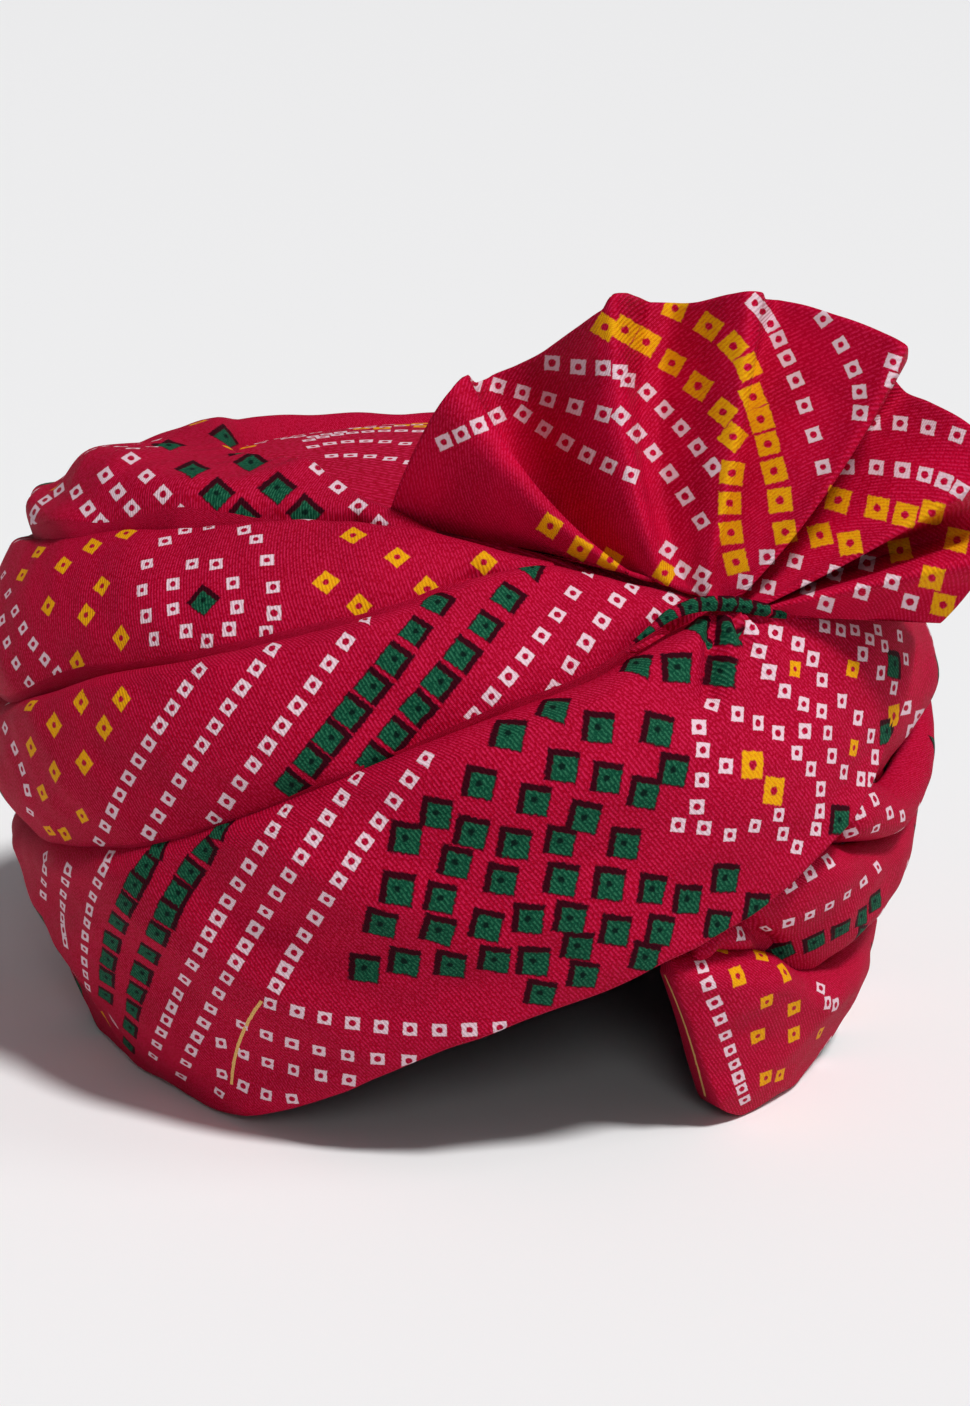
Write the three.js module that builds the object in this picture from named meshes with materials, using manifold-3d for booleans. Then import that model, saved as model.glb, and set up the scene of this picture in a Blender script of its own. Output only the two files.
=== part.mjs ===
// A ready-tied turban (pagri): four turns of printed cloth wound round a lined dome, a smooth
// crown, and a pleated fan that stands on a gather above the brow.
// Millimetres, +Z up, with the foot of the hem on z = 0. The brow is at -Y and the wearer's left at +X.
// Azimuth is in degrees from the brow towards +X. "up" is the share of the way up the dome in
// per cent, 0 at the foot and 100 at the crown, and "out" is the distance outside the dome.
import * as THREE from "three";
import { mergeVertices } from "three/addons/utils/BufferGeometryUtils.js";
import Module from "manifold-3d";

const wasm = await Module();
wasm.setup();

// Where the middle of the whole part lies from the dome's axis. The origin is put there.
const MIDDLE = { x: -1.6, y: -1.3 };

// Driving sizes of the dome and of the layers on it.
const HALF_LENGTH = 135;
const HALF_WIDTH_LEFT = 121;
const HALF_WIDTH_RIGHT = 124;
const BROW_FLARE = 0.07;
const FLARE_END = 40;
const LINING_OUT = -9.4;
const LINING_WALL = 1.8;
const CLOTH_INSIDE = -8;
const GAP = 0.4;
const ROLL = 6;
const STATION = 8;

// The dome's section: how far it reaches, as a share of the foot plan, and how high it is.
const DOME = [
  { up: 0, reach: 0.79, height: 0 },
  { up: 10, reach: 0.855, height: 17 },
  { up: 20, reach: 0.915, height: 35 },
  { up: 30, reach: 0.96, height: 54 },
  { up: 40, reach: 0.99, height: 74 },
  { up: 50, reach: 0.99, height: 94 },
  { up: 60, reach: 0.945, height: 113 },
  { up: 70, reach: 0.845, height: 130 },
  { up: 80, reach: 0.665, height: 144 },
  { up: 90, reach: 0.37, height: 152 },
  { up: 100, reach: 0, height: 155 },
];

// Each turn of cloth starts low at the right of the brow, passes the wearer's left ear, the nape
// and the right ear, and climbs back over the brow. A row gives its lower and upper edges and how
// far its fold swells outside the dome.
const OUTER_TURN = [
  { azimuth: 10, lower: 25, upper: 28, swell: 0 },
  { azimuth: 13, lower: 16, upper: 27.5, swell: 1.5 },
  { azimuth: 16, lower: 8, upper: 26.5, swell: 2 },
  { azimuth: 19, lower: 2, upper: 25.5, swell: 2 },
  { azimuth: 24, lower: 0, upper: 24, swell: 2 },
  { azimuth: 34, lower: 0, upper: 18.5, swell: 2 },
  { azimuth: 45, lower: 0, upper: 17, swell: 1 },
  { azimuth: 90, lower: 0, upper: 20, swell: 1 },
  { azimuth: 135, lower: 0, upper: 25, swell: 1.5 },
  { azimuth: 180, lower: 0, upper: 28, swell: 2 },
  { azimuth: 225, lower: 0, upper: 30, swell: 2 },
  { azimuth: 270, lower: 0, upper: 31, swell: 1.5 },
  { azimuth: 287, lower: 0, upper: 33, swell: 1 },
  { azimuth: 305, lower: 0, upper: 37, swell: 1.5 },
  { azimuth: 316, lower: 0.8, upper: 41, swell: 2 },
  { azimuth: 327, lower: 5, upper: 46, swell: 2.5 },
  { azimuth: 334, lower: 9.5, upper: 50, swell: 3 },
  { azimuth: 341, lower: 14.5, upper: 54, swell: 3.5 },
  { azimuth: 347, lower: 18.5, upper: 57, swell: 4 },
  { azimuth: 354, lower: 22, upper: 60, swell: 4.5 },
  { azimuth: 362, lower: 25.5, upper: 63, swell: 5 },
  { azimuth: 368, lower: 29, upper: 66, swell: 5 },
  { azimuth: 373, lower: 31, upper: 68, swell: 5.5 },
  { azimuth: 379, lower: 33.5, upper: 69.5, swell: 6 },
  { azimuth: 385, lower: 37, upper: 69, swell: 6 },
  { azimuth: 394, lower: 43, upper: 67, swell: 6 },
  { azimuth: 402, lower: 48, upper: 66.5, swell: 6 },
  { azimuth: 412, lower: 53, upper: 67, swell: 5.5 },
  { azimuth: 425, lower: 57, upper: 69, swell: 5 },
  { azimuth: 440, lower: 62, upper: 71, swell: 4.5 },
  { azimuth: 455, lower: 66, upper: 73, swell: 3.5 },
  { azimuth: 468, lower: 70, upper: 75, swell: 1.5 },
];
const SECOND_TURN = [
  { azimuth: 13, lower: 24, upper: 32, swell: 1.5 },
  { azimuth: 20, lower: 20, upper: 36, swell: 2 },
  { azimuth: 28, lower: 16, upper: 38, swell: 2 },
  { azimuth: 38, lower: 12, upper: 35, swell: 1.5 },
  { azimuth: 48, lower: 12, upper: 33.5, swell: 1 },
  { azimuth: 90, lower: 15, upper: 38, swell: 1.5 },
  { azimuth: 135, lower: 20, upper: 42, swell: 2 },
  { azimuth: 180, lower: 23, upper: 44, swell: 2 },
  { azimuth: 225, lower: 25, upper: 46, swell: 2 },
  { azimuth: 270, lower: 26, upper: 48, swell: 2.5 },
  { azimuth: 276, lower: 26.5, upper: 49, swell: 2.5 },
  { azimuth: 289, lower: 28, upper: 53, swell: 2 },
  { azimuth: 302, lower: 31, upper: 58.5, swell: 2 },
  { azimuth: 316, lower: 36, upper: 63, swell: 2 },
  { azimuth: 327, lower: 41, upper: 67, swell: 2 },
  { azimuth: 339, lower: 48, upper: 71, swell: 2 },
  { azimuth: 350, lower: 54, upper: 75.5, swell: 2 },
  { azimuth: 360, lower: 58, upper: 77, swell: 1.5 },
  { azimuth: 370, lower: 63, upper: 74, swell: 1 },
  { azimuth: 377, lower: 65, upper: 71, swell: 0.5 },
];
const THIRD_TURN = [
  { azimuth: 20, lower: 30, upper: 40, swell: 0 },
  { azimuth: 30, lower: 32, upper: 44, swell: 1 },
  { azimuth: 38, lower: 30, upper: 44, swell: 1.5 },
  { azimuth: 48, lower: 28, upper: 41, swell: 1.5 },
  { azimuth: 65, lower: 28, upper: 44, swell: 1.5 },
  { azimuth: 90, lower: 32, upper: 52, swell: 2 },
  { azimuth: 135, lower: 37, upper: 57, swell: 2 },
  { azimuth: 180, lower: 39, upper: 60, swell: 3 },
  { azimuth: 225, lower: 41, upper: 63, swell: 4.5 },
  { azimuth: 257, lower: 43, upper: 67, swell: 6 },
  { azimuth: 279, lower: 45, upper: 72, swell: 5 },
  { azimuth: 297, lower: 53, upper: 77, swell: 2.5 },
  { azimuth: 311, lower: 57, upper: 79.5, swell: 2 },
  { azimuth: 328, lower: 63, upper: 81.5, swell: 2 },
  { azimuth: 340, lower: 67, upper: 81.5, swell: 2 },
  { azimuth: 351, lower: 71, upper: 79.5, swell: 1 },
  { azimuth: 360, lower: 72, upper: 77.5, swell: 0 },
];
const TOP_TURN = [
  { azimuth: 22, lower: 45, upper: 72, swell: -4 },
  { azimuth: 36, lower: 38, upper: 75, swell: 0 },
  { azimuth: 50, lower: 35, upper: 77, swell: 1 },
  { azimuth: 65, lower: 38, upper: 78, swell: 2 },
  { azimuth: 90, lower: 46, upper: 79, swell: 2.5 },
  { azimuth: 135, lower: 51, upper: 80.5, swell: 2 },
  { azimuth: 180, lower: 54, upper: 82, swell: 1.5 },
  { azimuth: 225, lower: 57, upper: 84.5, swell: 3.5 },
  { azimuth: 250, lower: 61, upper: 86.5, swell: 6 },
  { azimuth: 280, lower: 66, upper: 87.5, swell: 7.5 },
  { azimuth: 300, lower: 72, upper: 88, swell: 6.5 },
  { azimuth: 322, lower: 76, upper: 86.5, swell: 4 },
  { azimuth: 336, lower: 77, upper: 83.5, swell: 1 },
  { azimuth: 344, lower: 78, upper: 82, swell: -1 },
];
const TUCK = 5;

// The fan's fold lines, round the middle of its gather: the angle from the wearer's left, how far
// the cloth reaches, how far the fold stands forward at its end, and how far to the wearer's right
// of the gather's middle it starts.
const FAN_FOLDS = [
  { angle: -5, reach: 53, forward: -7, start: -9 },
  { angle: 3, reach: 59, forward: -1, start: -8.5 },
  { angle: 10, reach: 64, forward: 3, start: -8 },
  { angle: 18, reach: 68, forward: -9, start: -7.5 },
  { angle: 28, reach: 72, forward: 2, start: -7 },
  { angle: 40, reach: 71, forward: -5, start: -6 },
  { angle: 49, reach: 69, forward: -11, start: -4 },
  { angle: 55, reach: 71, forward: 8, start: -3 },
  { angle: 67, reach: 71, forward: 6, start: -1 },
  { angle: 77, reach: 72, forward: 1, start: 1 },
  { angle: 83, reach: 70, forward: -7, start: 3 },
  { angle: 90, reach: 69, forward: 2, start: 4 },
  { angle: 100, reach: 71, forward: 5, start: 7 },
  { angle: 107, reach: 73, forward: 8, start: 11 },
  { angle: 114, reach: 69, forward: 3, start: 13 },
  { angle: 122, reach: 67, forward: -2, start: 15 },
  { angle: 130, reach: 71, forward: -8, start: 17 },
  { angle: 134, reach: 74, forward: -11, start: 18 },
  { angle: 138, reach: 76.5, forward: 5, start: 20 },
  { angle: 152, reach: 77, forward: -4, start: 21 },
  { angle: 165, reach: 78, forward: -19, start: 22 },
];
const GATHER = { azimuth: 17.7, up: 68.9, out: 3 };
const GATHER_SLOPE = 0.33;
const FAN_YAW = -12;
const FAN_LEAN = 14;
const FAN_WALL = 1.6;
const ROLL_PATH = [
  { azimuth: 5.5, up: 66, out: 4, radius: 1.6 },
  { azimuth: 9, up: 66.6, out: 6, radius: 2.4 },
  { azimuth: 14, up: 67.4, out: 7.5, radius: 3 },
  { azimuth: 19, up: 66.9, out: 8, radius: 3.2 },
  { azimuth: 24, up: 65.6, out: 8, radius: 2.6 },
  { azimuth: 30, up: 64.8, out: 6, radius: 1.6 },
];

// A smooth value between a table's rows, which never overshoots them.
function between(rows, key, column, at) {
  const last = rows.length - 1;
  const x = THREE.MathUtils.clamp(at, rows[0][key], rows[last][key]);
  let i = 0;
  while (i < last - 1 && x > rows[i + 1][key]) i += 1;
  const slope = (k) =>
    (rows[k + 1][column] - rows[k][column]) / (rows[k + 1][key] - rows[k][key]);
  const tangent = (k) => {
    if (k === 0) return slope(0);
    if (k === last) return slope(last - 1);
    const [a, b] = [slope(k - 1), slope(k)];
    return a * b <= 0 ? 0 : (2 * a * b) / (a + b);
  };
  const span = rows[i + 1][key] - rows[i][key];
  const t = (x - rows[i][key]) / span;
  const [p, q] = [rows[i][column], rows[i + 1][column]];
  const ease = t * t * (3 - 2 * t);
  const bend = t * (1 - t) * ((1 - t) * tangent(i) - t * tangent(i + 1)) * span;
  return p + (q - p) * ease + bend;
}

// The plan radius of the dome at an azimuth, in radians.
function planReach(turn) {
  const halfWidth = Math.sin(turn) > 0 ? HALF_WIDTH_LEFT : HALF_WIDTH_RIGHT;
  return 1 / Math.hypot(Math.cos(turn) / HALF_LENGTH, Math.sin(turn) / halfWidth);
}

// Radius and height on the dome's bare section.
function sectionPoint(azimuth, up) {
  const turn = THREE.MathUtils.degToRad(azimuth);
  const brow = Math.max(0, Math.cos(turn)) ** 2;
  const flare = BROW_FLARE * brow * Math.max(0, 1 - up / FLARE_END) ** 1.5;
  return {
    radius: planReach(turn) * (between(DOME, "up", "reach", up) + flare),
    height: between(DOME, "up", "height", up),
  };
}

// How far the section runs for one per cent of rise, and its outward normal.
function sectionSlope(azimuth, up) {
  const low = sectionPoint(azimuth, Math.max(0, up - 0.5));
  const high = sectionPoint(azimuth, Math.min(100, up + 0.5));
  const step = Math.min(100, up + 0.5) - Math.max(0, up - 0.5);
  const run = (high.radius - low.radius) / step;
  const rise = (high.height - low.height) / step;
  const length = Math.hypot(run, rise);
  return { length, outward: rise / length, upward: -run / length };
}

function onPlan(azimuth, radius, height) {
  const turn = THREE.MathUtils.degToRad(azimuth);
  return new THREE.Vector3(radius * Math.sin(turn), -radius * Math.cos(turn), height);
}

// A point at a distance outside the dome, square to its section.
function domePoint(azimuth, up, out) {
  const bare = sectionPoint(azimuth, up);
  const slope = sectionSlope(azimuth, up);
  const radius = Math.max(0, bare.radius + out * slope.outward);
  return onPlan(azimuth, radius, bare.height + out * slope.upward);
}

// A point at a distance outside the dome, level with it, for a hem that lies flat.
function hemPoint(azimuth, up, out) {
  const bare = sectionPoint(azimuth, up);
  return onPlan(azimuth, bare.radius + out, bare.height);
}

// A closed mesh from its points and faces, turned so that it faces out.
function closedGeometry(points, faces) {
  const geometry = new THREE.BufferGeometry();
  const flat = points.flatMap((p) => [p.x, p.y, p.z]);
  geometry.setAttribute("position", new THREE.Float32BufferAttribute(flat, 3));
  let volume = 0;
  for (const [a, b, c] of faces)
    volume += points[a].dot(points[b].clone().cross(points[c]));
  const out = volume < 0 ? faces.map(([a, b, c]) => [a, c, b]) : faces;
  geometry.setIndex(out.flat());
  return geometry;
}

// A solid through closed sections of equal count, with capped ends.
function loftGeometry(sections) {
  const count = sections[0].length;
  const points = sections.flat();
  const faces = [];
  for (let s = 0; s < sections.length - 1; s += 1)
    for (let k = 0; k < count; k += 1) {
      const a = s * count + k;
      const b = s * count + ((k + 1) % count);
      faces.push([a, b, b + count], [a, b + count, a + count]);
    }
  for (const [s, flip] of [
    [0, false],
    [sections.length - 1, true],
  ]) {
    const ring = sections[s];
    const turn = Math.atan2(ring[0].x, -ring[0].y);
    const flat = ring.map(
      (p) => new THREE.Vector2(p.x * Math.sin(turn) - p.y * Math.cos(turn), p.z),
    );
    for (const [i, j, k] of THREE.ShapeUtils.triangulateShape(flat, [])) {
      const cap = [i, j, k].map((n) => s * count + n);
      faces.push(flip ? cap : cap.reverse());
    }
  }
  return closedGeometry(points, faces);
}

// One section of a turn of cloth. The cloth is thin where the turn below covers it, swells to a
// rounded fold at its upper edge, and is rounded below where that edge shows too.
function turnSection(rows, azimuth, { hem, grown = 0 }) {
  const lower = between(rows, "azimuth", "lower", azimuth);
  const upper = between(rows, "azimuth", "upper", azimuth);
  const swell = between(rows, "azimuth", "swell", azimuth) + grown;
  const roll = Math.min(ROLL / sectionSlope(azimuth, upper).length, 0.4 * (upper - lower));
  const bottom = hem ? lower : Math.min(lower + TUCK, upper - 2 * roll);
  const full = upper - roll;
  const fold = (turn) => {
    const up = full + (roll + grown / 2) * Math.sin(turn);
    return domePoint(azimuth, up, CLOTH_INSIDE + (swell - CLOTH_INSIDE) * Math.cos(turn));
  };
  const face = (share, sink) =>
    domePoint(azimuth, bottom + share * (full - bottom), swell - sink);
  const edge = hem ? lower : lower - grown / 2;
  const start = hem
    ? [hemPoint(azimuth, lower, swell - 3), face(0.06, 1.4), face(0.35, 0.6)]
    : [domePoint(azimuth, edge, CLOTH_INSIDE + 1.2 + grown), face(0, 4), face(0.35, 1.4)];
  const inside = [0.96, 0.74, 0.5, 0.25].map((share) =>
    domePoint(azimuth, lower + share * (upper - lower), CLOTH_INSIDE - grown),
  );
  const foot = hem ? hemPoint : domePoint;
  inside.push(foot(azimuth, edge, CLOTH_INSIDE - grown));
  return [...start, face(0.7, 0.1), fold(0), fold(0.7), fold(1.2), ...inside];
}

function turnGeometry(rows, options) {
  const [first, last] = [rows[0].azimuth, rows[rows.length - 1].azimuth];
  const count = Math.round((last - first) / STATION);
  const azimuths = [];
  for (let s = 0; s <= count; s += 1) azimuths.push(first + ((last - first) * s) / count);
  if (options.grown) {
    azimuths.unshift(first - options.grown);
    azimuths.push(last + options.grown);
  }
  return loftGeometry(azimuths.map((azimuth) => turnSection(rows, azimuth, options)));
}

// A dome of one wall, open below, from the outsides of its two faces.
function domeGeometry({ foot, steps, stations, outer, inner }) {
  const points = [];
  const faces = [];
  for (let a = 0; a < stations; a += 1) {
    const azimuth = (360 * a) / stations;
    for (const out of [outer, inner])
      for (let s = 0; s < steps; s += 1) {
        const low = foot(azimuth);
        const up = low + ((100 - low) * s) / steps;
        const place = s === 0 && low < FLARE_END ? hemPoint : domePoint;
        points.push(place(azimuth, up, out));
      }
  }
  const outerTop = points.push(domePoint(0, 100, outer)) - 1;
  const innerTop = points.push(domePoint(0, 100, inner)) - 1;
  for (let a = 0; a < stations; a += 1) {
    const here = a * 2 * steps;
    const next = ((a + 1) % stations) * 2 * steps;
    for (let s = 0; s < steps - 1; s += 1) {
      faces.push([here + s, next + s, next + s + 1], [here + s, next + s + 1, here + s + 1]);
      const [i, j] = [here + steps + s, next + steps + s];
      faces.push([i, j + 1, j], [i, i + 1, j + 1]);
    }
    faces.push([here + steps - 1, next + steps - 1, outerTop]);
    faces.push([next + 2 * steps - 1, here + 2 * steps - 1, innerTop]);
    faces.push([here, here + steps, next + steps], [here, next + steps, next]);
  }
  return closedGeometry(points, faces);
}

// The fan's own frame: across to the wearer's left, rise, and forward.
function fanFrame() {
  const yaw = THREE.MathUtils.degToRad(FAN_YAW);
  const lean = THREE.MathUtils.degToRad(FAN_LEAN);
  const level = new THREE.Vector3(Math.sin(yaw), -Math.cos(yaw), 0);
  const top = new THREE.Vector3(0, 0, 1);
  return {
    root: domePoint(GATHER.azimuth, GATHER.up, GATHER.out),
    across: new THREE.Vector3(Math.cos(yaw), Math.sin(yaw), 0),
    rise: top.clone().multiplyScalar(Math.cos(lean)).addScaledVector(level, -Math.sin(lean)),
    forward: level.clone().multiplyScalar(Math.cos(lean)).addScaledVector(top, Math.sin(lean)),
  };
}

function fanPoint(frame, angle, share) {
  const [reach, forward, start] = ["reach", "forward", "start"].map((column) =>
    between(FAN_FOLDS, "angle", column, angle),
  );
  const turn = THREE.MathUtils.degToRad(angle);
  const across = THREE.MathUtils.lerp(-start, reach * Math.cos(turn), share);
  const rise = THREE.MathUtils.lerp(GATHER_SLOPE * start, reach * Math.sin(turn), share);
  return frame.root
    .clone()
    .addScaledVector(frame.across, across)
    .addScaledVector(frame.rise, rise)
    .addScaledVector(frame.forward, forward * share ** 1.2);
}

// The pleated fan: one wall of cloth that follows the fold lines.
function fanGeometry(wall) {
  const frame = fanFrame();
  const angles = FAN_FOLDS.flatMap((row, i) =>
    i === 0 ? [row.angle] : [(row.angle + FAN_FOLDS[i - 1].angle) / 2, row.angle],
  );
  const shares = [0, 0.25, 0.5, 0.75, 1];
  const points = [];
  for (const side of [wall / 2, -wall / 2])
    for (const angle of angles)
      for (const share of shares) {
        const here = fanPoint(frame, angle, share);
        const round = fanPoint(frame, angle + 1, share + 0.01);
        round.sub(fanPoint(frame, angle - 1, share + 0.01));
        const out = fanPoint(frame, angle, share + 0.02).sub(here);
        const normal = out.cross(round).normalize();
        if (normal.dot(frame.forward) < 0) normal.negate();
        points.push(here.addScaledVector(normal, side));
      }
  const [n, m] = [angles.length, shares.length];
  const front = (a, s) => a * m + s;
  const back = (a, s) => n * m + a * m + s;
  const faces = [];
  const quad = (a, b, c, d) => faces.push([a, b, c], [a, c, d]);
  for (let a = 0; a < n - 1; a += 1) {
    for (let s = 0; s < m - 1; s += 1) {
      quad(front(a, s), front(a, s + 1), front(a + 1, s + 1), front(a + 1, s));
      quad(back(a, s), back(a + 1, s), back(a + 1, s + 1), back(a, s + 1));
    }
    quad(front(a, 0), front(a + 1, 0), back(a + 1, 0), back(a, 0));
    quad(front(a, m - 1), back(a, m - 1), back(a + 1, m - 1), front(a + 1, m - 1));
  }
  for (let s = 0; s < m - 1; s += 1) {
    quad(front(0, s), back(0, s), back(0, s + 1), front(0, s + 1));
    quad(front(n - 1, s), front(n - 1, s + 1), back(n - 1, s + 1), back(n - 1, s));
  }
  return closedGeometry(points, faces);
}

// The rolled edge of cloth that binds the fan's gather.
function gatherRollGeometry(grown = 0) {
  const path = new THREE.CatmullRomCurve3(
    ROLL_PATH.map((row) => domePoint(row.azimuth, row.up, row.out)),
  );
  const steps = 12;
  const sides = 8;
  const frames = path.computeFrenetFrames(steps, false);
  const [first, last] = [ROLL_PATH[0].azimuth, ROLL_PATH[ROLL_PATH.length - 1].azimuth];
  const points = [];
  for (let s = 0; s <= steps; s += 1) {
    const middle = path.getPoint(s / steps);
    const azimuth = first + ((last - first) * s) / steps;
    const radius = between(ROLL_PATH, "azimuth", "radius", azimuth) + grown;
    for (let k = 0; k < sides; k += 1) {
      const turn = (2 * Math.PI * k) / sides;
      points.push(
        middle
          .clone()
          .addScaledVector(frames.normals[s], radius * Math.cos(turn))
          .addScaledVector(frames.binormals[s], radius * Math.sin(turn)),
      );
    }
  }
  const faces = [];
  for (let s = 0; s < steps; s += 1)
    for (let k = 0; k < sides; k += 1) {
      const a = s * sides + k;
      const b = s * sides + ((k + 1) % sides);
      faces.push([a, b, b + sides], [a, b + sides, a + sides]);
    }
  const start = points.push(path.getPoint(0)) - 1;
  const end = points.push(path.getPoint(1)) - 1;
  for (let k = 0; k < sides; k += 1) {
    faces.push([start, (k + 1) % sides, k]);
    faces.push([end, steps * sides + k, steps * sides + ((k + 1) % sides)]);
  }
  return closedGeometry(points, faces);
}

// Joins and cuts.
function solidOf(geometry) {
  const merged = mergeVertices(geometry, 1e-4);
  return new wasm.Manifold(
    new wasm.Mesh({
      numProp: 3,
      vertProperties: merged.attributes.position.array,
      triVerts: new Uint32Array(merged.index.array),
    }),
  );
}

function geometryOf(solid) {
  const mesh = solid.getMesh();
  const geometry = new THREE.BufferGeometry();
  const positions = new THREE.BufferAttribute(new Float32Array(mesh.vertProperties), 3);
  geometry.setAttribute("position", positions);
  geometry.setIndex(new THREE.BufferAttribute(new Uint32Array(mesh.triVerts), 1));
  return geometry;
}

// What is left of a solid beside the ones that it lies on, with the scraps dropped.
function clearOf(solid, others) {
  let left = solid;
  for (const other of others) left = left.subtract(other);
  const bodies = left.decompose();
  return bodies.reduce((most, body) => (body.volume() > most.volume() ? body : most));
}

// The foot of the lining follows the hem, and its arch over the brow.
function hemRise(azimuth) {
  const turn = azimuth < OUTER_TURN[0].azimuth + 1 ? azimuth + 360 : azimuth;
  return between(OUTER_TURN, "azimuth", "lower", turn);
}

const lining = domeGeometry({
  foot: (azimuth) => hemRise(azimuth) + 0.7,
  steps: 10,
  stations: 44,
  outer: LINING_OUT,
  inner: LINING_OUT - LINING_WALL,
});

const crownParts = { foot: () => 66, steps: 6, stations: 36 };
const crown = domeGeometry({ ...crownParts, outer: -4, inner: CLOTH_INSIDE });
const crownGrown = domeGeometry({
  ...crownParts,
  foot: () => 65.5,
  outer: -4 + GAP,
  inner: CLOTH_INSIDE - 1,
});

const turns = [
  { name: "top_turn", rows: TOP_TURN, hem: false },
  { name: "third_turn", rows: THIRD_TURN, hem: false },
  { name: "second_turn", rows: SECOND_TURN, hem: false },
  { name: "outer_turn", rows: OUTER_TURN, hem: true },
];
const cutters = [solidOf(crownGrown)];
const turnSolids = {};
for (const { name, rows, hem } of turns) {
  turnSolids[name] = clearOf(solidOf(turnGeometry(rows, { hem })), cutters);
  cutters.push(solidOf(turnGeometry(rows, { hem, grown: GAP })));
}
const gatherRoll = clearOf(solidOf(gatherRollGeometry()), cutters);
cutters.push(solidOf(gatherRollGeometry(GAP)));
const fan = clearOf(solidOf(fanGeometry(FAN_WALL)), cutters);

// Finishes.
const cloth = (color) =>
  new THREE.MeshStandardMaterial({ color, roughness: 0.72, metalness: 0, flatShading: true });
const printedCloth = cloth(0xb4082e);
const fanCloth = cloth(0xbe0a34);
const liningCloth = cloth(0x2b1f2a);

const pagri = new THREE.Group();
function add(name, geometry, material) {
  const mesh = new THREE.Mesh(geometry, material);
  mesh.name = name;
  pagri.add(mesh);
}
add("lining", lining, liningCloth);
add("crown", crown, printedCloth);
for (const { name } of turns) add(name, geometryOf(turnSolids[name]), printedCloth);
add("fan", geometryOf(fan), fanCloth);
add("gather_roll", geometryOf(gatherRoll), printedCloth);
pagri.position.set(-MIDDLE.x, -MIDDLE.y, 0);

export default pagri;
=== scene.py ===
"""A ready-tied turban (pagri): printed crimson cloth wound in four turns over a lined dome, with a
smooth crown and a pleated fan that stands on a gather above the brow.

The brow is at -Y, the wearer's left at +X and the foot of the hem on z = 0. Sizes are in
millimetres until a mesh is made, and azimuths are in degrees from the brow towards +X. "up" is the
share of the way up the dome in per cent, and "out" the distance outside the dome.
"""

import logging
import math
from dataclasses import dataclass, field
from enum import IntEnum
from typing import ClassVar, NamedTuple, Sequence

import bpy
import numpy as np
from mathutils import Matrix, Vector
from mathutils.bvhtree import BVHTree


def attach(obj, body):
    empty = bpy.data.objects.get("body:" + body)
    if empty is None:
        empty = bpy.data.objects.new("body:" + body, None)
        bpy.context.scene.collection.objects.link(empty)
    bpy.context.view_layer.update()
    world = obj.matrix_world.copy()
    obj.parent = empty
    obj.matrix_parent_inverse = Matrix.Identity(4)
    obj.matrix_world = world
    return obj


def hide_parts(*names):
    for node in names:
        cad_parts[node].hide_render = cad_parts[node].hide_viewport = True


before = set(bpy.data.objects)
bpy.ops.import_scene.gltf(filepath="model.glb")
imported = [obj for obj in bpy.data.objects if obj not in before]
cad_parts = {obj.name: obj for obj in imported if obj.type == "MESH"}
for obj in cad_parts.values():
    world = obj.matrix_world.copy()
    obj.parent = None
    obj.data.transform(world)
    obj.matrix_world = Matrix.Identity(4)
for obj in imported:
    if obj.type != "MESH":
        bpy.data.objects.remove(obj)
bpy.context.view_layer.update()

log = logging.getLogger("pagri")

MM = 0.001
BODY = "root"

# How far the dome's axis stands from the origin of the frame.
DOME_AXIS = np.array([1.6, 1.3, 0.0])

Pixel = tuple[float, float]


class DomeRow(NamedTuple):
    """One height of the dome: its reach as a share of the foot plan, and how high it is."""

    up: float
    reach: float
    height: float


class TurnRow(NamedTuple):
    """One azimuth of a turn of cloth: its two edges, and how far it swells outside the dome."""

    azimuth: float
    lower: float
    upper: float
    swell: float


class FoldRow(NamedTuple):
    """One fold line of the fan: its reach, how far it stands forward, its start and its bow."""

    angle: float
    reach: float
    forward: float
    start: float
    bow: float


class RollRow(NamedTuple):
    """One point of the rolled edge that binds the gather."""

    azimuth: float
    up: float
    out: float
    radius: float


class Crease(NamedTuple):
    """A long soft fold on a turn, from one place to another. A height below zero is a dent."""

    azimuth: float
    up: float
    to_azimuth: float
    to_up: float
    height: float
    width: float


class SmoothTable:
    """A table whose columns run smoothly between its rows and never overshoot them."""

    def __init__(self, rows: Sequence[NamedTuple]) -> None:
        """Reads the rows. The first column is the one that the others are looked up by.

        Args:
            rows: The rows in rising order of their first column.
        """
        self.columns = {
            name: np.array([getattr(row, name) for row in rows]) for name in rows[0]._fields
        }
        self.key = self.columns[rows[0]._fields[0]]

    def at(self, column: str, where: np.ndarray | float) -> np.ndarray:
        """Looks a column up.

        Args:
            column: The column's name.
            where: Where to look, in the first column's own units.

        Returns:
            The smooth values there, in the shape of where.
        """
        values, key = self.columns[column], self.key
        slopes = np.diff(values) / np.diff(key)
        before, after = slopes[:-1], slopes[1:]
        total = np.where(before * after > 0, before + after, 1.0)
        inner = np.where(before * after > 0, 2 * before * after / total, 0.0)
        tangents = np.concatenate([slopes[:1], inner, slopes[-1:]])
        x = np.clip(where, key[0], key[-1])
        i = np.clip(np.searchsorted(key, x, side="right") - 1, 0, len(key) - 2)
        span = key[i + 1] - key[i]
        t = (x - key[i]) / span
        ease = t * t * (3 - 2 * t)
        bend = t * (1 - t) * ((1 - t) * tangents[i] - t * tangents[i + 1]) * span
        return values[i] + (values[i + 1] - values[i]) * ease + bend


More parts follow.
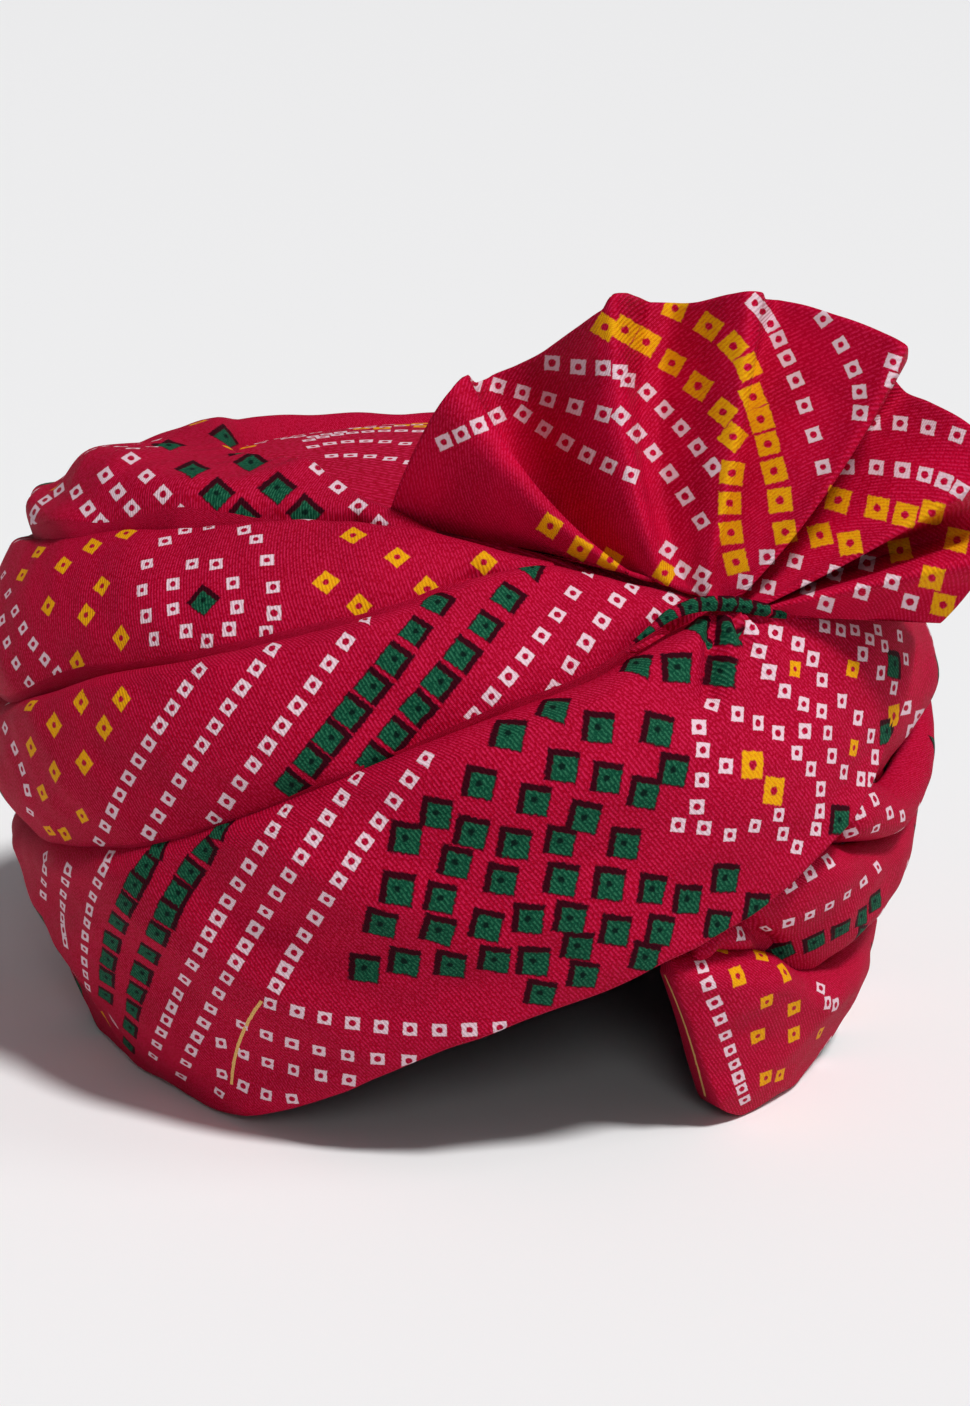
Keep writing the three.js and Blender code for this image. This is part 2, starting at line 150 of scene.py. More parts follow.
@dataclass(frozen=True)
class Dome:
    """The dome that every turn of cloth lies on, in millimetres."""

    half_length: float = 135.0
    half_width_left: float = 121.0
    half_width_right: float = 124.0
    brow_flare: float = 0.07
    flare_end: float = 40.0
    section: ClassVar[SmoothTable] = SmoothTable(
        [
            DomeRow(0, 0.79, 0),
            DomeRow(10, 0.855, 17),
            DomeRow(20, 0.915, 35),
            DomeRow(30, 0.96, 54),
            DomeRow(40, 0.99, 74),
            DomeRow(50, 0.99, 94),
            DomeRow(60, 0.945, 113),
            DomeRow(70, 0.845, 130),
            DomeRow(80, 0.665, 144),
            DomeRow(90, 0.37, 152),
            DomeRow(100, 0, 155),
        ]
    )

    def bare(self, azimuth: np.ndarray, up: np.ndarray) -> tuple[np.ndarray, np.ndarray]:
        """Finds the dome's own surface.

        Args:
            azimuth: Azimuths in degrees.
            up: Shares of the way up, in per cent.

        Returns:
            The radius from the dome's axis, and the height.
        """
        turn = np.radians(azimuth)
        half_width = np.where(np.sin(turn) > 0, self.half_width_left, self.half_width_right)
        plan = 1 / np.hypot(np.cos(turn) / self.half_length, np.sin(turn) / half_width)
        brow = np.maximum(0, np.cos(turn)) ** 2
        flare = self.brow_flare * brow * np.maximum(0, 1 - up / self.flare_end) ** 1.5
        reach = self.section.at("reach", up)
        return plan * (reach + flare), self.section.at("height", up)

    def slope(
        self, azimuth: np.ndarray, up: np.ndarray
    ) -> tuple[np.ndarray, np.ndarray, np.ndarray]:
        """Finds how the section runs.

        Args:
            azimuth: Azimuths in degrees.
            up: Shares of the way up, in per cent.

        Returns:
            The length of one per cent, and the outward and upward parts of the normal.
        """
        low, high = np.maximum(0, up - 0.5), np.minimum(100, up + 0.5)
        low_radius, low_height = self.bare(azimuth, low)
        high_radius, high_height = self.bare(azimuth, high)
        run = (high_radius - low_radius) / (high - low)
        rise = (high_height - low_height) / (high - low)
        length = np.hypot(run, rise)
        return length, rise / length, -run / length

    def point(
        self, azimuth: np.ndarray, up: np.ndarray, out: np.ndarray | float, level: bool = False
    ) -> np.ndarray:
        """Finds points outside the dome.

        Args:
            azimuth: Azimuths in degrees.
            up: Shares of the way up, in per cent.
            out: Distances outside the dome.
            level: Whether the distance is level, as at a hem, and not square to the dome.

        Returns:
            Points in the frame, in millimetres, with the last axis x, y and z.
        """
        azimuth, up, out = np.broadcast_arrays(azimuth, up, out)
        radius, height = self.bare(azimuth, up)
        if level:
            radius = radius + out
        else:
            _, outward, upward = self.slope(azimuth, up)
            radius = radius + out * outward
            height = height + out * upward
        turn = np.radians(azimuth)
        radius = np.maximum(0, radius)
        place = np.stack([radius * np.sin(turn), -radius * np.cos(turn), height], axis=-1)
        return place + DOME_AXIS


DOME = Dome()


@dataclass(frozen=True)
class PhotoCamera:
    """The photograph's camera, which looks down at the brow from a little to the wearer's right."""

    azimuth: float = -12.0
    elevation: float = 14.0
    distance: float = 820.0
    scale: float = 0.265
    target_right: float = 5.3
    target_height: float = 81.1
    width: int = 970
    height: int = 1406
    sensor: float = 36.0

    def axes(self) -> tuple[np.ndarray, np.ndarray, np.ndarray]:
        """Returns the directions to the camera's right, up, and back from what it looks at."""
        a, e = math.radians(self.azimuth), math.radians(self.elevation)
        back = np.array(
            [math.sin(a) * math.cos(e), -math.cos(a) * math.cos(e), math.sin(e)]
        )
        right = np.array([math.cos(a), math.sin(a), 0.0])
        return right, np.cross(back, right), back

    def place(self) -> np.ndarray:
        """Returns where the camera stands, in millimetres."""
        right, _, back = self.axes()
        target = right * self.target_right + np.array([0, 0, self.target_height]) + DOME_AXIS
        return target + back * self.distance

    def ray(self, pixel: Pixel) -> np.ndarray:
        """Finds the direction in which the camera sees a pixel.

        Args:
            pixel: A pixel of the photograph, from its upper left corner.

        Returns:
            The unit direction away from the camera.
        """
        right, rise, back = self.axes()
        focal = self.distance / self.scale
        across, down = pixel[0] - self.width / 2, pixel[1] - self.height / 2
        way = right * across - rise * down - back * focal
        return way / np.linalg.norm(way)

    def build(self) -> None:
        """Makes the scene's camera."""
        data = bpy.data.cameras.new("photo_camera")
        data.sensor_width = self.sensor
        data.lens = self.distance / self.scale * self.sensor / self.height
        data.clip_start, data.clip_end = 0.05, 100
        camera = bpy.data.objects.new("photo_camera", data)
        right, rise, back = (Vector(v) for v in self.axes())
        turn = Matrix((right, rise, back)).transposed()
        camera.matrix_world = Matrix.Translation(Vector(self.place() * MM)) @ turn.to_4x4()
        bpy.context.scene.collection.objects.link(camera)
        bpy.context.scene.camera = camera


CAMERA = PhotoCamera()


class Ripples:
    """Soft seeded ripples over a flat of cloth, for relief that no two places share."""

    def __init__(self, seed: int, wave: float, across: float, count: int = 14) -> None:
        """Draws the waves.

        Args:
            seed: The seed of the random draws.
            wave: The usual length of a wave along the cloth, in millimetres.
            across: The usual length of a wave across it, in millimetres.
            count: How many waves are added together.
        """
        draw = np.random.default_rng(seed)
        self.along = 2 * math.pi / (wave * draw.uniform(0.6, 1.9, count))
        self.over = 2 * math.pi / (across * draw.uniform(0.7, 1.8, count))
        self.over *= draw.choice([-1, 1], count)
        self.start = draw.uniform(0, 2 * math.pi, count)

    def at(self, along: np.ndarray, across: np.ndarray) -> np.ndarray:
        """Reads the ripples.

        Args:
            along: Places along the cloth, in millimetres.
            across: Places across it, in millimetres.

        Returns:
            Heights of about one either way.
        """
        turns = along[..., None] * self.along + across[..., None] * self.over + self.start
        return np.sin(turns).sum(axis=-1) / math.sqrt(len(self.start) / 2)


class Kind(IntEnum):
    """What is printed, tied or stitched at one place of the cloth."""

    NONE = 0
    WHITE = 1
    GREEN = 2
    YELLOW = 3
    THREAD = 4


# Half the size of each printed square, in millimetres.
HALF_SIZE = {Kind.WHITE: 1.8, Kind.GREEN: 3.6, Kind.YELLOW: 2.4, Kind.THREAD: 2.4}
THREAD_HALF_WIDTH = 0.45

# How far apart the generated squares of a row stand, in millimetres.
PITCH = {Kind.WHITE: 4.9, Kind.GREEN: 9.6, Kind.YELLOW: 10.5}

# How much of the slant that a square seems to have is kept, and the turn of one on its corner.
SKEW_KEPT = 1.2
DIAMOND_TURN = math.radians(45)


@dataclass(frozen=True)
class Row:
    """A row of one kind of square, as the photograph shows it, in its pixels.

    The row runs through its start, middle and end, with even steps.
    """

    kind: Kind
    start: Pixel
    middle: Pixel
    end: Pixel
    count: int
    grain: Pixel | None = None
    diamond: bool = False
    size: float = 1.0

    def spots(self) -> list[tuple[Pixel, Pixel]]:
        """Returns each square's pixel and the direction of its grain in the picture."""
        found = []
        for k in range(self.count):
            t = k / max(1, self.count - 1)
            here = self._through(t)
            grain = self.grain or tuple(
                np.subtract(self._through(t + 0.01), self._through(t - 0.01))
            )
            found.append((here, grain))
        return found

    def _through(self, t: float) -> Pixel:
        """Returns the pixel at share t of the row."""
        weights = ((2 * t - 1) * (t - 1), 4 * t * (1 - t), t * (2 * t - 1))
        ends = (self.start, self.middle, self.end)
        return tuple(sum(w * p[i] for w, p in zip(weights, ends)) for i in (0, 1))


@dataclass(frozen=True)
class Spots:
    """Squares of one kind that lie in no even row, in the photograph's pixels."""

    kind: Kind
    places: tuple[Pixel, ...]
    grain: Pixel = (1.0, 0.0)
    diamond: bool = False
    size: float = 1.0

    def spots(self) -> list[tuple[Pixel, Pixel]]:
        """Returns each square's pixel and the direction of its grain in the picture."""
        return [(place, self.grain) for place in self.places]


W, G, Y, T = Kind.WHITE, Kind.GREEN, Kind.YELLOW, Kind.THREAD
UPRIGHT = (0.0, 1.0)
FIELD_LEFT = (1.0, 0.2)
FIELD_MIDDLE = (1.0, 0.13)
FIELD_RIGHT = (1.0, 0.05)
LARGE = 1.2
FIELD = 1.08

# The print of each piece, read from the photograph row by row.
OUTER_PRINT = [
    Row(W, (285, 810), (200, 950), (153, 1056), 17),
    Row(W, (356, 777), (245, 946), (181, 1076), 19),
    Row(W, (442, 736), (345, 871), (276, 986), 14),
    Row(W, (109, 856), (86.7, 923), (87.5, 987), 11),
    Row(W, (67.5, 870), (62.5, 906), (65, 942), 7),
    Row(W, (45, 857), (44, 876), (43, 895), 4),
    Row(W, (270, 1004), (381, 1027), (500, 1028), 9),
    Row(W, (242, 1025), (319, 1050.5), (409, 1061), 7),
    Row(W, (243, 1054), (293.6, 1070), (349, 1080), 5),
    Row(W, (243, 1086), (266, 1095), (292, 1099), 3),
    Row(W, (221, 1043), (222, 1074), (219, 1093), 3),
    Row(T, (258, 1006), (240, 1040), (232, 1078), 9),
    Row(G, (159, 846), (118, 923), (106, 995), 9),
    Row(G, (221, 828), (153, 944), (129, 1045), 12),
    Spots(G, ((508, 733), (479, 783), (436, 813), (471, 832), (405, 838)), FIELD_LEFT, size=FIELD),
    Spots(G, ((455, 862), (397, 889), (440, 898), (501, 880), (380, 924)), FIELD_LEFT, size=FIELD),
    Spots(G, ((438, 930), (486, 925), (364, 968), (404, 961), (450, 965)), FIELD_LEFT, size=FIELD),
    Spots(G, ((494, 960), (553, 707), (598, 727), (562, 766), (607, 778)), FIELD_MIDDLE, size=FIELD),
    Spots(G, ((534, 800), (584, 817), (514, 843), (560, 841), (624, 843)), FIELD_MIDDLE, size=FIELD),
    Spots(G, ((561, 879), (609, 884), (652, 889), (528, 919), (570, 918)), FIELD_MIDDLE, size=FIELD),
    Spots(G, ((615, 930), (660, 930), (533, 961), (577, 946), (583, 975)), FIELD_MIDDLE, size=FIELD),
    Spots(G, ((645, 957), (540, 993), (658, 729), (644, 793), (673, 770)), FIELD_MIDDLE, size=FIELD),
    Spots(G, ((636, 663), (677, 667), (720, 671), (699, 623), (729, 630)), FIELD_RIGHT, size=FIELD),
    Spots(G, ((687, 899), (725, 878), (717, 924), (756, 908), (840, 820)), FIELD_RIGHT, size=FIELD),
    Spots(G, ((895, 664), (887, 731), (900, 741)), UPRIGHT),
    Spots(W, ((753, 627), (775, 633), (759, 651), (798, 644), (813, 659)), FIELD_LEFT),
    Spots(W, ((769, 672), (822, 680), (785, 691), (804, 704), (822, 711)), FIELD_MIDDLE),
    Spots(W, ((842, 701), (858, 718), (712, 705), (738, 714), (758, 723)), FIELD_MIDDLE),
    Spots(W, ((778, 733), (805, 731), (828, 733), (871, 736), (699, 727)), FIELD_RIGHT),
    Spots(W, ((703, 750), (797, 753), (832, 756), (875, 757), (726, 766)), FIELD_RIGHT),
    Spots(W, ((811, 769), (844, 772), (861, 779), (872, 780), (702, 780)), FIELD_RIGHT),
    Spots(W, ((821, 789), (697, 807), (678, 825), (704, 828), (730, 835)), FIELD_RIGHT),
    Spots(W, ((755, 826), (779, 815), (820, 811), (816, 829), (783, 834)), FIELD_RIGHT),
    Spots(W, ((797, 847), (825, 626), (841, 630), (855, 630), (878, 630)), FIELD_LEFT),
    Spots(W, ((870, 639), (885, 646), (863, 654), (900, 636), (906, 659)), FIELD_LEFT),
    Spots(W, ((881, 673), (894, 688)), FIELD_LEFT),
    Spots(Y, ((753, 765), (774, 791)), FIELD_RIGHT, size=1.35),
    Spots(Y, ((795, 669), (853, 669), (854, 748)), FIELD_LEFT, size=0.85),
    Spots(Y, ((894, 716),), UPRIGHT, size=LARGE),
    Row(W, (702, 966), (728, 1043), (745, 1100), 10),
    Spots(Y, ((738, 976), (767, 1002), (794, 1008), (758, 1036), (794, 1034)), (1.0, -0.4)),
    Spots(Y, ((820, 1033), (766, 1078), (780, 1075), (785, 972)), (1.0, -0.4)),
    Spots(W, ((821, 988), (828, 1003), (836, 1005)), UPRIGHT),
    Row(T, (668, 983), (687, 1032), (704, 1092), 24),
    Spots(Y, ((719, 943), (761, 955)), FIELD_LEFT),
]
SECOND_PRINT = [
    Row(W, (199, 670), (138, 761), (99, 842), 11),
    Row(W, (272, 648), (202, 745), (149, 833), 11),
    Row(W, (363, 619), (282, 726), (214, 819), 11),
    Row(W, (588, 571), (533.5, 646), (474, 716), 8),
    Row(W, (632, 580), (594, 631.5), (554, 689), 6),
    Row(W, (671, 599), (663, 608), (655, 617), 2),
    Row(G, (532, 567), (452, 668), (375, 760), 8),
    Row(G, (438, 602), (362.5, 699.5), (292, 785), 8),
    Row(W, (5, 728), (22, 769), (30, 812), 5),
    Spots(Y, ((30, 705), (54, 725), (81, 702), (121, 699), (104, 728)), UPRIGHT, True),
    Spots(Y, ((31, 747), (54, 772), (84, 763), (42, 793), (82, 816)), UPRIGHT, True),
    Spots(Y, ((65, 834), (49, 831), (150, 662)), UPRIGHT, True),
    Row(W, (741, 933), (820, 911), (878, 867), 8),
    Row(W, (790, 886), (810, 873), (829, 861), 3),
    Row(G, (781, 953), (841, 930), (875, 901), 5, grain=(1.0, -0.5)),
    Row(G, (819, 975), (848, 961), (863, 933), 4, grain=(1.0, -0.5)),
]
THIRD_PRINT = [
    Spots(G, ((203, 600),), UPRIGHT, True),
    Spots(W, ((192, 564), (216, 564), (173, 584), (233, 583), (173, 609)), UPRIGHT),
    Spots(W, ((237, 607), (186, 631), (229, 629), (207, 641), (244, 530)), UPRIGHT),
    Spots(W, ((147, 564), (142, 590), (146, 616), (154, 639), (165, 541)), UPRIGHT),
    Spots(W, ((185, 530), (209, 527), (256, 539), (267, 560), (273, 587)), UPRIGHT),
    Spots(W, ((274, 613), (266, 633)), UPRIGHT),
    Spots(Y, ((22, 575), (38, 552), (63, 565), (48, 606), (86, 615)), UPRIGHT, True),
    Spots(Y, ((102, 586), (121, 638), (77, 663), (126, 533), (92, 546)), UPRIGHT, True),
    Spots(Y, ((353, 535), (397, 557), (326, 582), (359, 606), (458, 536)), UPRIGHT, True),
    Spots(Y, ((484, 562), (427, 589)), UPRIGHT, True),
    Row(W, (3, 575), (23, 628), (58, 674), 7),
    Row(W, (2, 620), (11, 653), (29, 683), 4),
    Spots(W, ((875, 799), (860, 812), (890, 813), (876, 829), (851, 834)), (1.0, -0.4)),
    Spots(W, ((885, 853), (841, 849), (903, 816), (903, 839)), (1.0, -0.4)),
]
TOP_PRINT = [
    Row(W, (131, 458), (154.5, 485), (181, 513), 4),
    Row(W, (105, 475), (124.5, 500), (147, 524), 4),
    Row(W, (76, 492), (94, 516), (115, 535), 4),
    Row(W, (22, 543), (34, 512), (59, 490), 5),
    Row(G, (169, 445), (204.5, 481), (242, 517), 4),
    Row(G, (226, 436), (264, 475), (305, 512), 4),
    Row(W, (299, 448), (338, 487), (379, 524), 5),
    Spots(W, ((913, 730), (908, 757), (918, 753), (891, 774), (906, 708)), UPRIGHT),
    Spots(W, ((919, 716),), UPRIGHT),
    Spots(Y, ((925, 761),), UPRIGHT),
]
CROWN_PRINT = [
    Row(W, (287, 436), (355, 424), (434, 426), 11),
    Row(W, (309, 440), (368, 431.5), (437, 432), 9),
    Row(W, (313, 446.6), (366, 441), (426, 446.6), 7),
    Row(W, (331.6, 455.8), (370, 456.3), (410.5, 462.4), 5),
    Row(Y, (301, 424), (372, 418), (442, 421), 8),
    Row(Y, (330, 412), (385, 412), (445, 415), 6),
]
FAN_PRINT = [
    Row(Y, (675, 308), (722, 336), (748, 367), 4, size=1.15),
    Spots(Y, ((605, 327), (625, 330), (646, 342), (672, 363), (698, 386)), (1.0, 0.6), size=1.15),
    Spots(Y, ((723, 412), (733, 437)), (1.0, 0.8), size=1.15),
    Row(Y, (753, 397), (771, 457), (785, 532), 6, size=1.15),
    Row(Y, (732, 473), (730, 518), (736, 562), 4, size=1.15),
    Spots(Y, ((838, 500), (877, 508), (905, 515), (932, 513), (957, 540)), (1.0, 0.2), size=1.15),
    Spots(Y, ((820, 535), (850, 543), (900, 550)), (1.0, -0.2), size=1.15),
    Spots(Y, ((932, 578), (943, 605)), (1.0, 0.2), size=1.15),
    Spots(Y, ((550, 526), (580, 549), (610, 560), (665, 573)), (1.0, 0.6)),
    Spots(W, ((552, 363), (578, 367), (603, 368), (620, 372), (628, 380)), (1.0, 0.1), size=1.0),
    Row(W, (647, 392), (681, 428), (713, 467), 5, size=0.98),
    Row(W, (475, 379), (535, 396), (603, 414), 6, size=0.98),
    Row(W, (621, 416), (661, 463), (701, 521), 6, size=0.98),
    Row(W, (444, 442), (470, 430), (497, 416), 4, size=0.98),
    Row(W, (523, 414), (576, 449), (631, 475), 6, size=0.98),
    Row(W, (755, 303), (787, 358), (823, 467), 9, size=0.98),
    Row(W, (823, 319), (853, 369), (860, 413), 5, size=0.98),
    Spots(W, ((893, 362), (894, 381), (917, 384)), (1.0, 0.3), size=0.98),
    Row(W, (873, 423), (914, 425), (957, 435), 4, size=1.02),
    Row(W, (847, 467), (914, 472), (960, 490), 6, size=1.02),
    Row(W, (767, 557), (795, 561), (835, 573), 3, size=0.98),
    Spots(W, ((808, 588), (745, 582), (768, 587), (867, 563)), (1.0, 0.2)),
    Spots(W, ((892, 582), (862, 592), (910, 602), (826, 604)), (1.0, 0.3), size=0.98),
    Spots(W, ((668, 550), (682, 570), (702, 575), (702, 588)), (1.0, 0.6), size=1.0),
]
ROLL_PRINT = [
    Row(G, (645, 636), (667, 618), (690, 607), 3, size=0.8),
    Row(G, (708, 604), (718, 604), (728, 605), 2, size=0.8),
    Row(G, (744, 607), (762, 611), (780, 616), 3, size=0.75),
]


@dataclass
class Motif:
    """One printed square on the cloth, in metres.

    A place's share of the square's half size is its offset's product with along or across.
    """

    kind: Kind
    middle: np.ndarray
    along: np.ndarray
    across: np.ndarray
    half: float


class PrintChart:
    """Lays printed squares on a mesh and hands each face its nearest two of them."""

    near: ClassVar[str] = "print_near"
    next: ClassVar[str] = "print_next"
    reach_pixels: ClassVar[tuple[float, ...]] = (0, 2, 4, 7, 10)
    most_unrolled: ClassVar[float] = 4.0
    depth_share: ClassVar[float] = 0.2
    least_glance: ClassVar[float] = -0.06
    least_apart: ClassVar[float] = 0.007

    def __init__(self, mesh: bpy.types.Mesh, seed: int, facing: float = 0.0) -> None:
        """Readies a mesh for its print.

        Args:
            mesh: The cloth's mesh, in metres.
            seed: The seed of the random draws.
            facing: How much squares on steep folds are turned to the camera, from 0 to 1.
        """
        self.mesh = mesh
        self.facing = facing
        self.shown = np.full((1, 3), np.inf)
        self.draw = np.random.default_rng(seed)
        self.motifs: list[Motif] = []
        corners = [v.co for v in mesh.vertices]
        self.tree = BVHTree.FromPolygons(corners, [tuple(p.vertices) for p in mesh.polygons])

    def lay(self, rows: Sequence[Row | Spots]) -> None:
        """Lays the squares that the photograph shows.

        Args:
            rows: The rows of the piece's chart.
        """
        for row in rows:
            for pixel, grain in row.spots():
                self._lay_pixel(row, pixel, grain)
        if self.motifs:
            self.shown = np.array([m.middle for m in self.motifs])

    def _lay_pixel(self, row: Row | Spots, pixel: Pixel, grain: Pixel) -> None:
        """Lays one square where the camera sees a pixel.

        Args:
            row: The row that the square is in.
            pixel: The square's middle in the photograph.
            grain: The direction of one of its sides there.
        """
        start = CAMERA.place() * MM
        for step in self.reach_pixels:
            for side in ((0, 0),) if step == 0 else ((1, 0), (-1, 0), (0, 1), (0, -1)):
                near = (pixel[0] + side[0] * step, pixel[1] + side[1] * step)
                hit, normal, _, _ = self.tree.ray_cast(Vector(start), Vector(CAMERA.ray(near)))
                if hit is None or normal.dot(Vector(CAMERA.ray(near))) > -0.04:
                    continue
                place, square = np.array(hit), np.array(normal)
                square = square * (1 - self.facing) - np.array(CAMERA.ray(near)) * self.facing
                square = square / np.linalg.norm(square)
                way = np.array(grain) / np.hypot(*grain)
                sides = [way, np.array([way[1], -way[0]])]
                seen = [self._seen_side(start, place, square, near, side) for side in sides]
                self.add(row.kind, place, square, seen[0], row, seen[1])
                return
        log.info("no cloth under the %s at %s", row.kind.name, pixel)

    def _seen_side(
        self,
        start: np.ndarray,
        place: np.ndarray,
        normal: np.ndarray,
        pixel: Pixel,
        way: np.ndarray,
    ) -> np.ndarray:
        """Casts a direction in the photograph on the cloth.

        Args:
            start: Where the camera stands, in metres.
            place: The place on the cloth that the pixel shows.
            normal: The cloth's normal there.
            pixel: The pixel.
            way: The direction in the photograph.

        Returns:
            The unit direction on the cloth.
        """
        ahead = CAMERA.ray((pixel[0] + way[0], pixel[1] + way[1]))
        reach = (place - start) @ normal / (ahead @ normal)
        side = start + ahead * reach - place
        return side / np.linalg.norm(side)

    def add(
        self,
        kind: Kind,
        place: np.ndarray,
        normal: np.ndarray,
        along: np.ndarray,
        row: Row | Spots | None = None,
        across: np.ndarray | None = None,
    ) -> None:
        """Adds one square.

        Args:
            kind: What is printed.
            place: The square's middle, in metres.
            normal: The cloth's normal there.
            along: The direction of one of its sides.
            row: The row that it is in, for its size and whether it stands on a corner.
            across: The direction that its other side seems to have, where it is known.
        """
        along = along - normal * (along @ normal)
        along = along / np.linalg.norm(along)
        square = np.cross(normal, along)
        if across is not None:
            across = across * np.sign(across @ square)
            square = square + across * SKEW_KEPT
            square = square / np.linalg.norm(square)
        slack = self.draw.normal(0, 0.03)
        turn = slack + (DIAMOND_TURN if row is not None and row.diamond else 0)
        cos, sin = math.cos(turn), math.sin(turn)
        along, across = along * cos + square * sin, square * cos - along * sin
        half = HALF_SIZE[kind] * MM * (row.size if row is not None else 1)
        half *= self.draw.uniform(0.95, 1.05)
        thin = THREAD_HALF_WIDTH * MM if kind == Kind.THREAD else half
        along, across = along * half, across * thin
        lean = np.cross(along, across)
        area = lean @ lean
        shares = (np.cross(across, lean) / area, np.cross(lean, along) / area)
        self.motifs.append(Motif(kind, place, *shares, half))

    def unseen(self, place: np.ndarray, normal: np.ndarray) -> bool:
        """Returns whether a place is hardly seen in the photograph and far from its squares."""
        glance = float(normal @ (place - CAMERA.place() * MM))
        apart = np.linalg.norm(self.shown - place, axis=1).min()
        return glance > self.least_glance and apart > self.least_apart

    def finish(self) -> None:
        """Writes the nearest two squares of every face to the mesh."""
        if not self.motifs:
            return
        mesh = self.mesh
        count = len(mesh.polygons)
        centres = np.empty(count * 3)
        mesh.polygons.foreach_get("center", centres)
        centres = centres.reshape(-1, 3)
        loops = np.empty(len(mesh.loops), np.int32)
        mesh.loops.foreach_get("vertex_index", loops)
        totals = np.empty(count, np.int32)
        mesh.polygons.foreach_get("loop_total", totals)
        points = np.empty(len(mesh.vertices) * 3)
        mesh.vertices.foreach_get("co", points)
        corners = points.reshape(-1, 3)[loops]
        face_of = np.repeat(np.arange(count), totals)
        picks = self._nearest(centres)
        for name, pick in zip((self.near, self.next), picks):
            mine = pick[face_of]
            values = np.zeros((len(loops), 3))
            kept = mine >= 0
            chosen = mine[kept]
            offset = corners[kept] - self.middles[chosen]
            if not self.facing:
                offset = self._unrolled(offset, self.normals[chosen])
            values[kept, 0] = (offset * self.alongs[chosen]).sum(axis=1)
            values[kept, 1] = (offset * self.acrosses[chosen]).sum(axis=1)
            values[kept, 2] = self.codes[chosen]
            layer = mesh.attributes.new(name, "FLOAT_VECTOR", "CORNER")
            layer.data.foreach_set("vector", values.astype(np.float32).ravel())

    def _unrolled(self, offset: np.ndarray, normals: np.ndarray) -> np.ndarray:
        """Lays offsets flat and keeps their length, so that a square bends over a fold.

        Args:
            offset: Offsets from the squares' middles.
            normals: The squares' normals.

        Returns:
            Offsets in the squares' own planes.
        """
        lift = (offset * normals).sum(axis=1, keepdims=True)
        flat = offset - lift * normals
        length = np.linalg.norm(offset, axis=1, keepdims=True)
        reach = np.maximum(np.linalg.norm(flat, axis=1, keepdims=True), 1e-7)
        return flat * np.minimum(length / reach, self.most_unrolled)

    def _nearest(self, centres: np.ndarray) -> tuple[np.ndarray, np.ndarray]:
        """Finds the nearest two squares of each face.

        Args:
            centres: The middles of the faces.

        Returns:
            Two lists of which square, with -1 where none is near.
        """
        near = np.full(len(centres), -1)
        after = np.full(len(centres), -1)
        self.middles = np.array([m.middle for m in self.motifs])
        self.alongs = np.array([m.along for m in self.motifs])
        self.acrosses = np.array([m.across for m in self.motifs])
        normals = np.cross(self.alongs, self.acrosses)
        self.normals = normals / np.linalg.norm(normals, axis=1, keepdims=True)
        seeds = self.draw.uniform(0.05, 0.95, len(self.motifs))
        self.codes = np.array([float(m.kind) for m in self.motifs]) + seeds
        halves = np.array([m.half for m in self.motifs])
        reach = 1.5 * halves + 1.6 * MM
        step = 4000
        for start in range(0, len(centres), step):
            part = centres[start : start + step]
            apart = part[:, None] - self.middles[None]
            if self.facing:
                lift = (apart * self.normals).sum(axis=2, keepdims=True)
                apart = apart - (1 - self.depth_share) * lift * self.normals
            apart = np.linalg.norm(apart, axis=2)
            apart = np.where(apart < reach, apart / halves, np.inf)
            order = np.argsort(apart, axis=1)[:, :2]
            for column, target in enumerate((near, after)):
                if column >= order.shape[1]:
                    break
                pick = order[:, column]
                fine = np.isfinite(apart[np.arange(len(part)), pick])
                target[start : start + step] = np.where(fine, pick, -1)
        return near, after


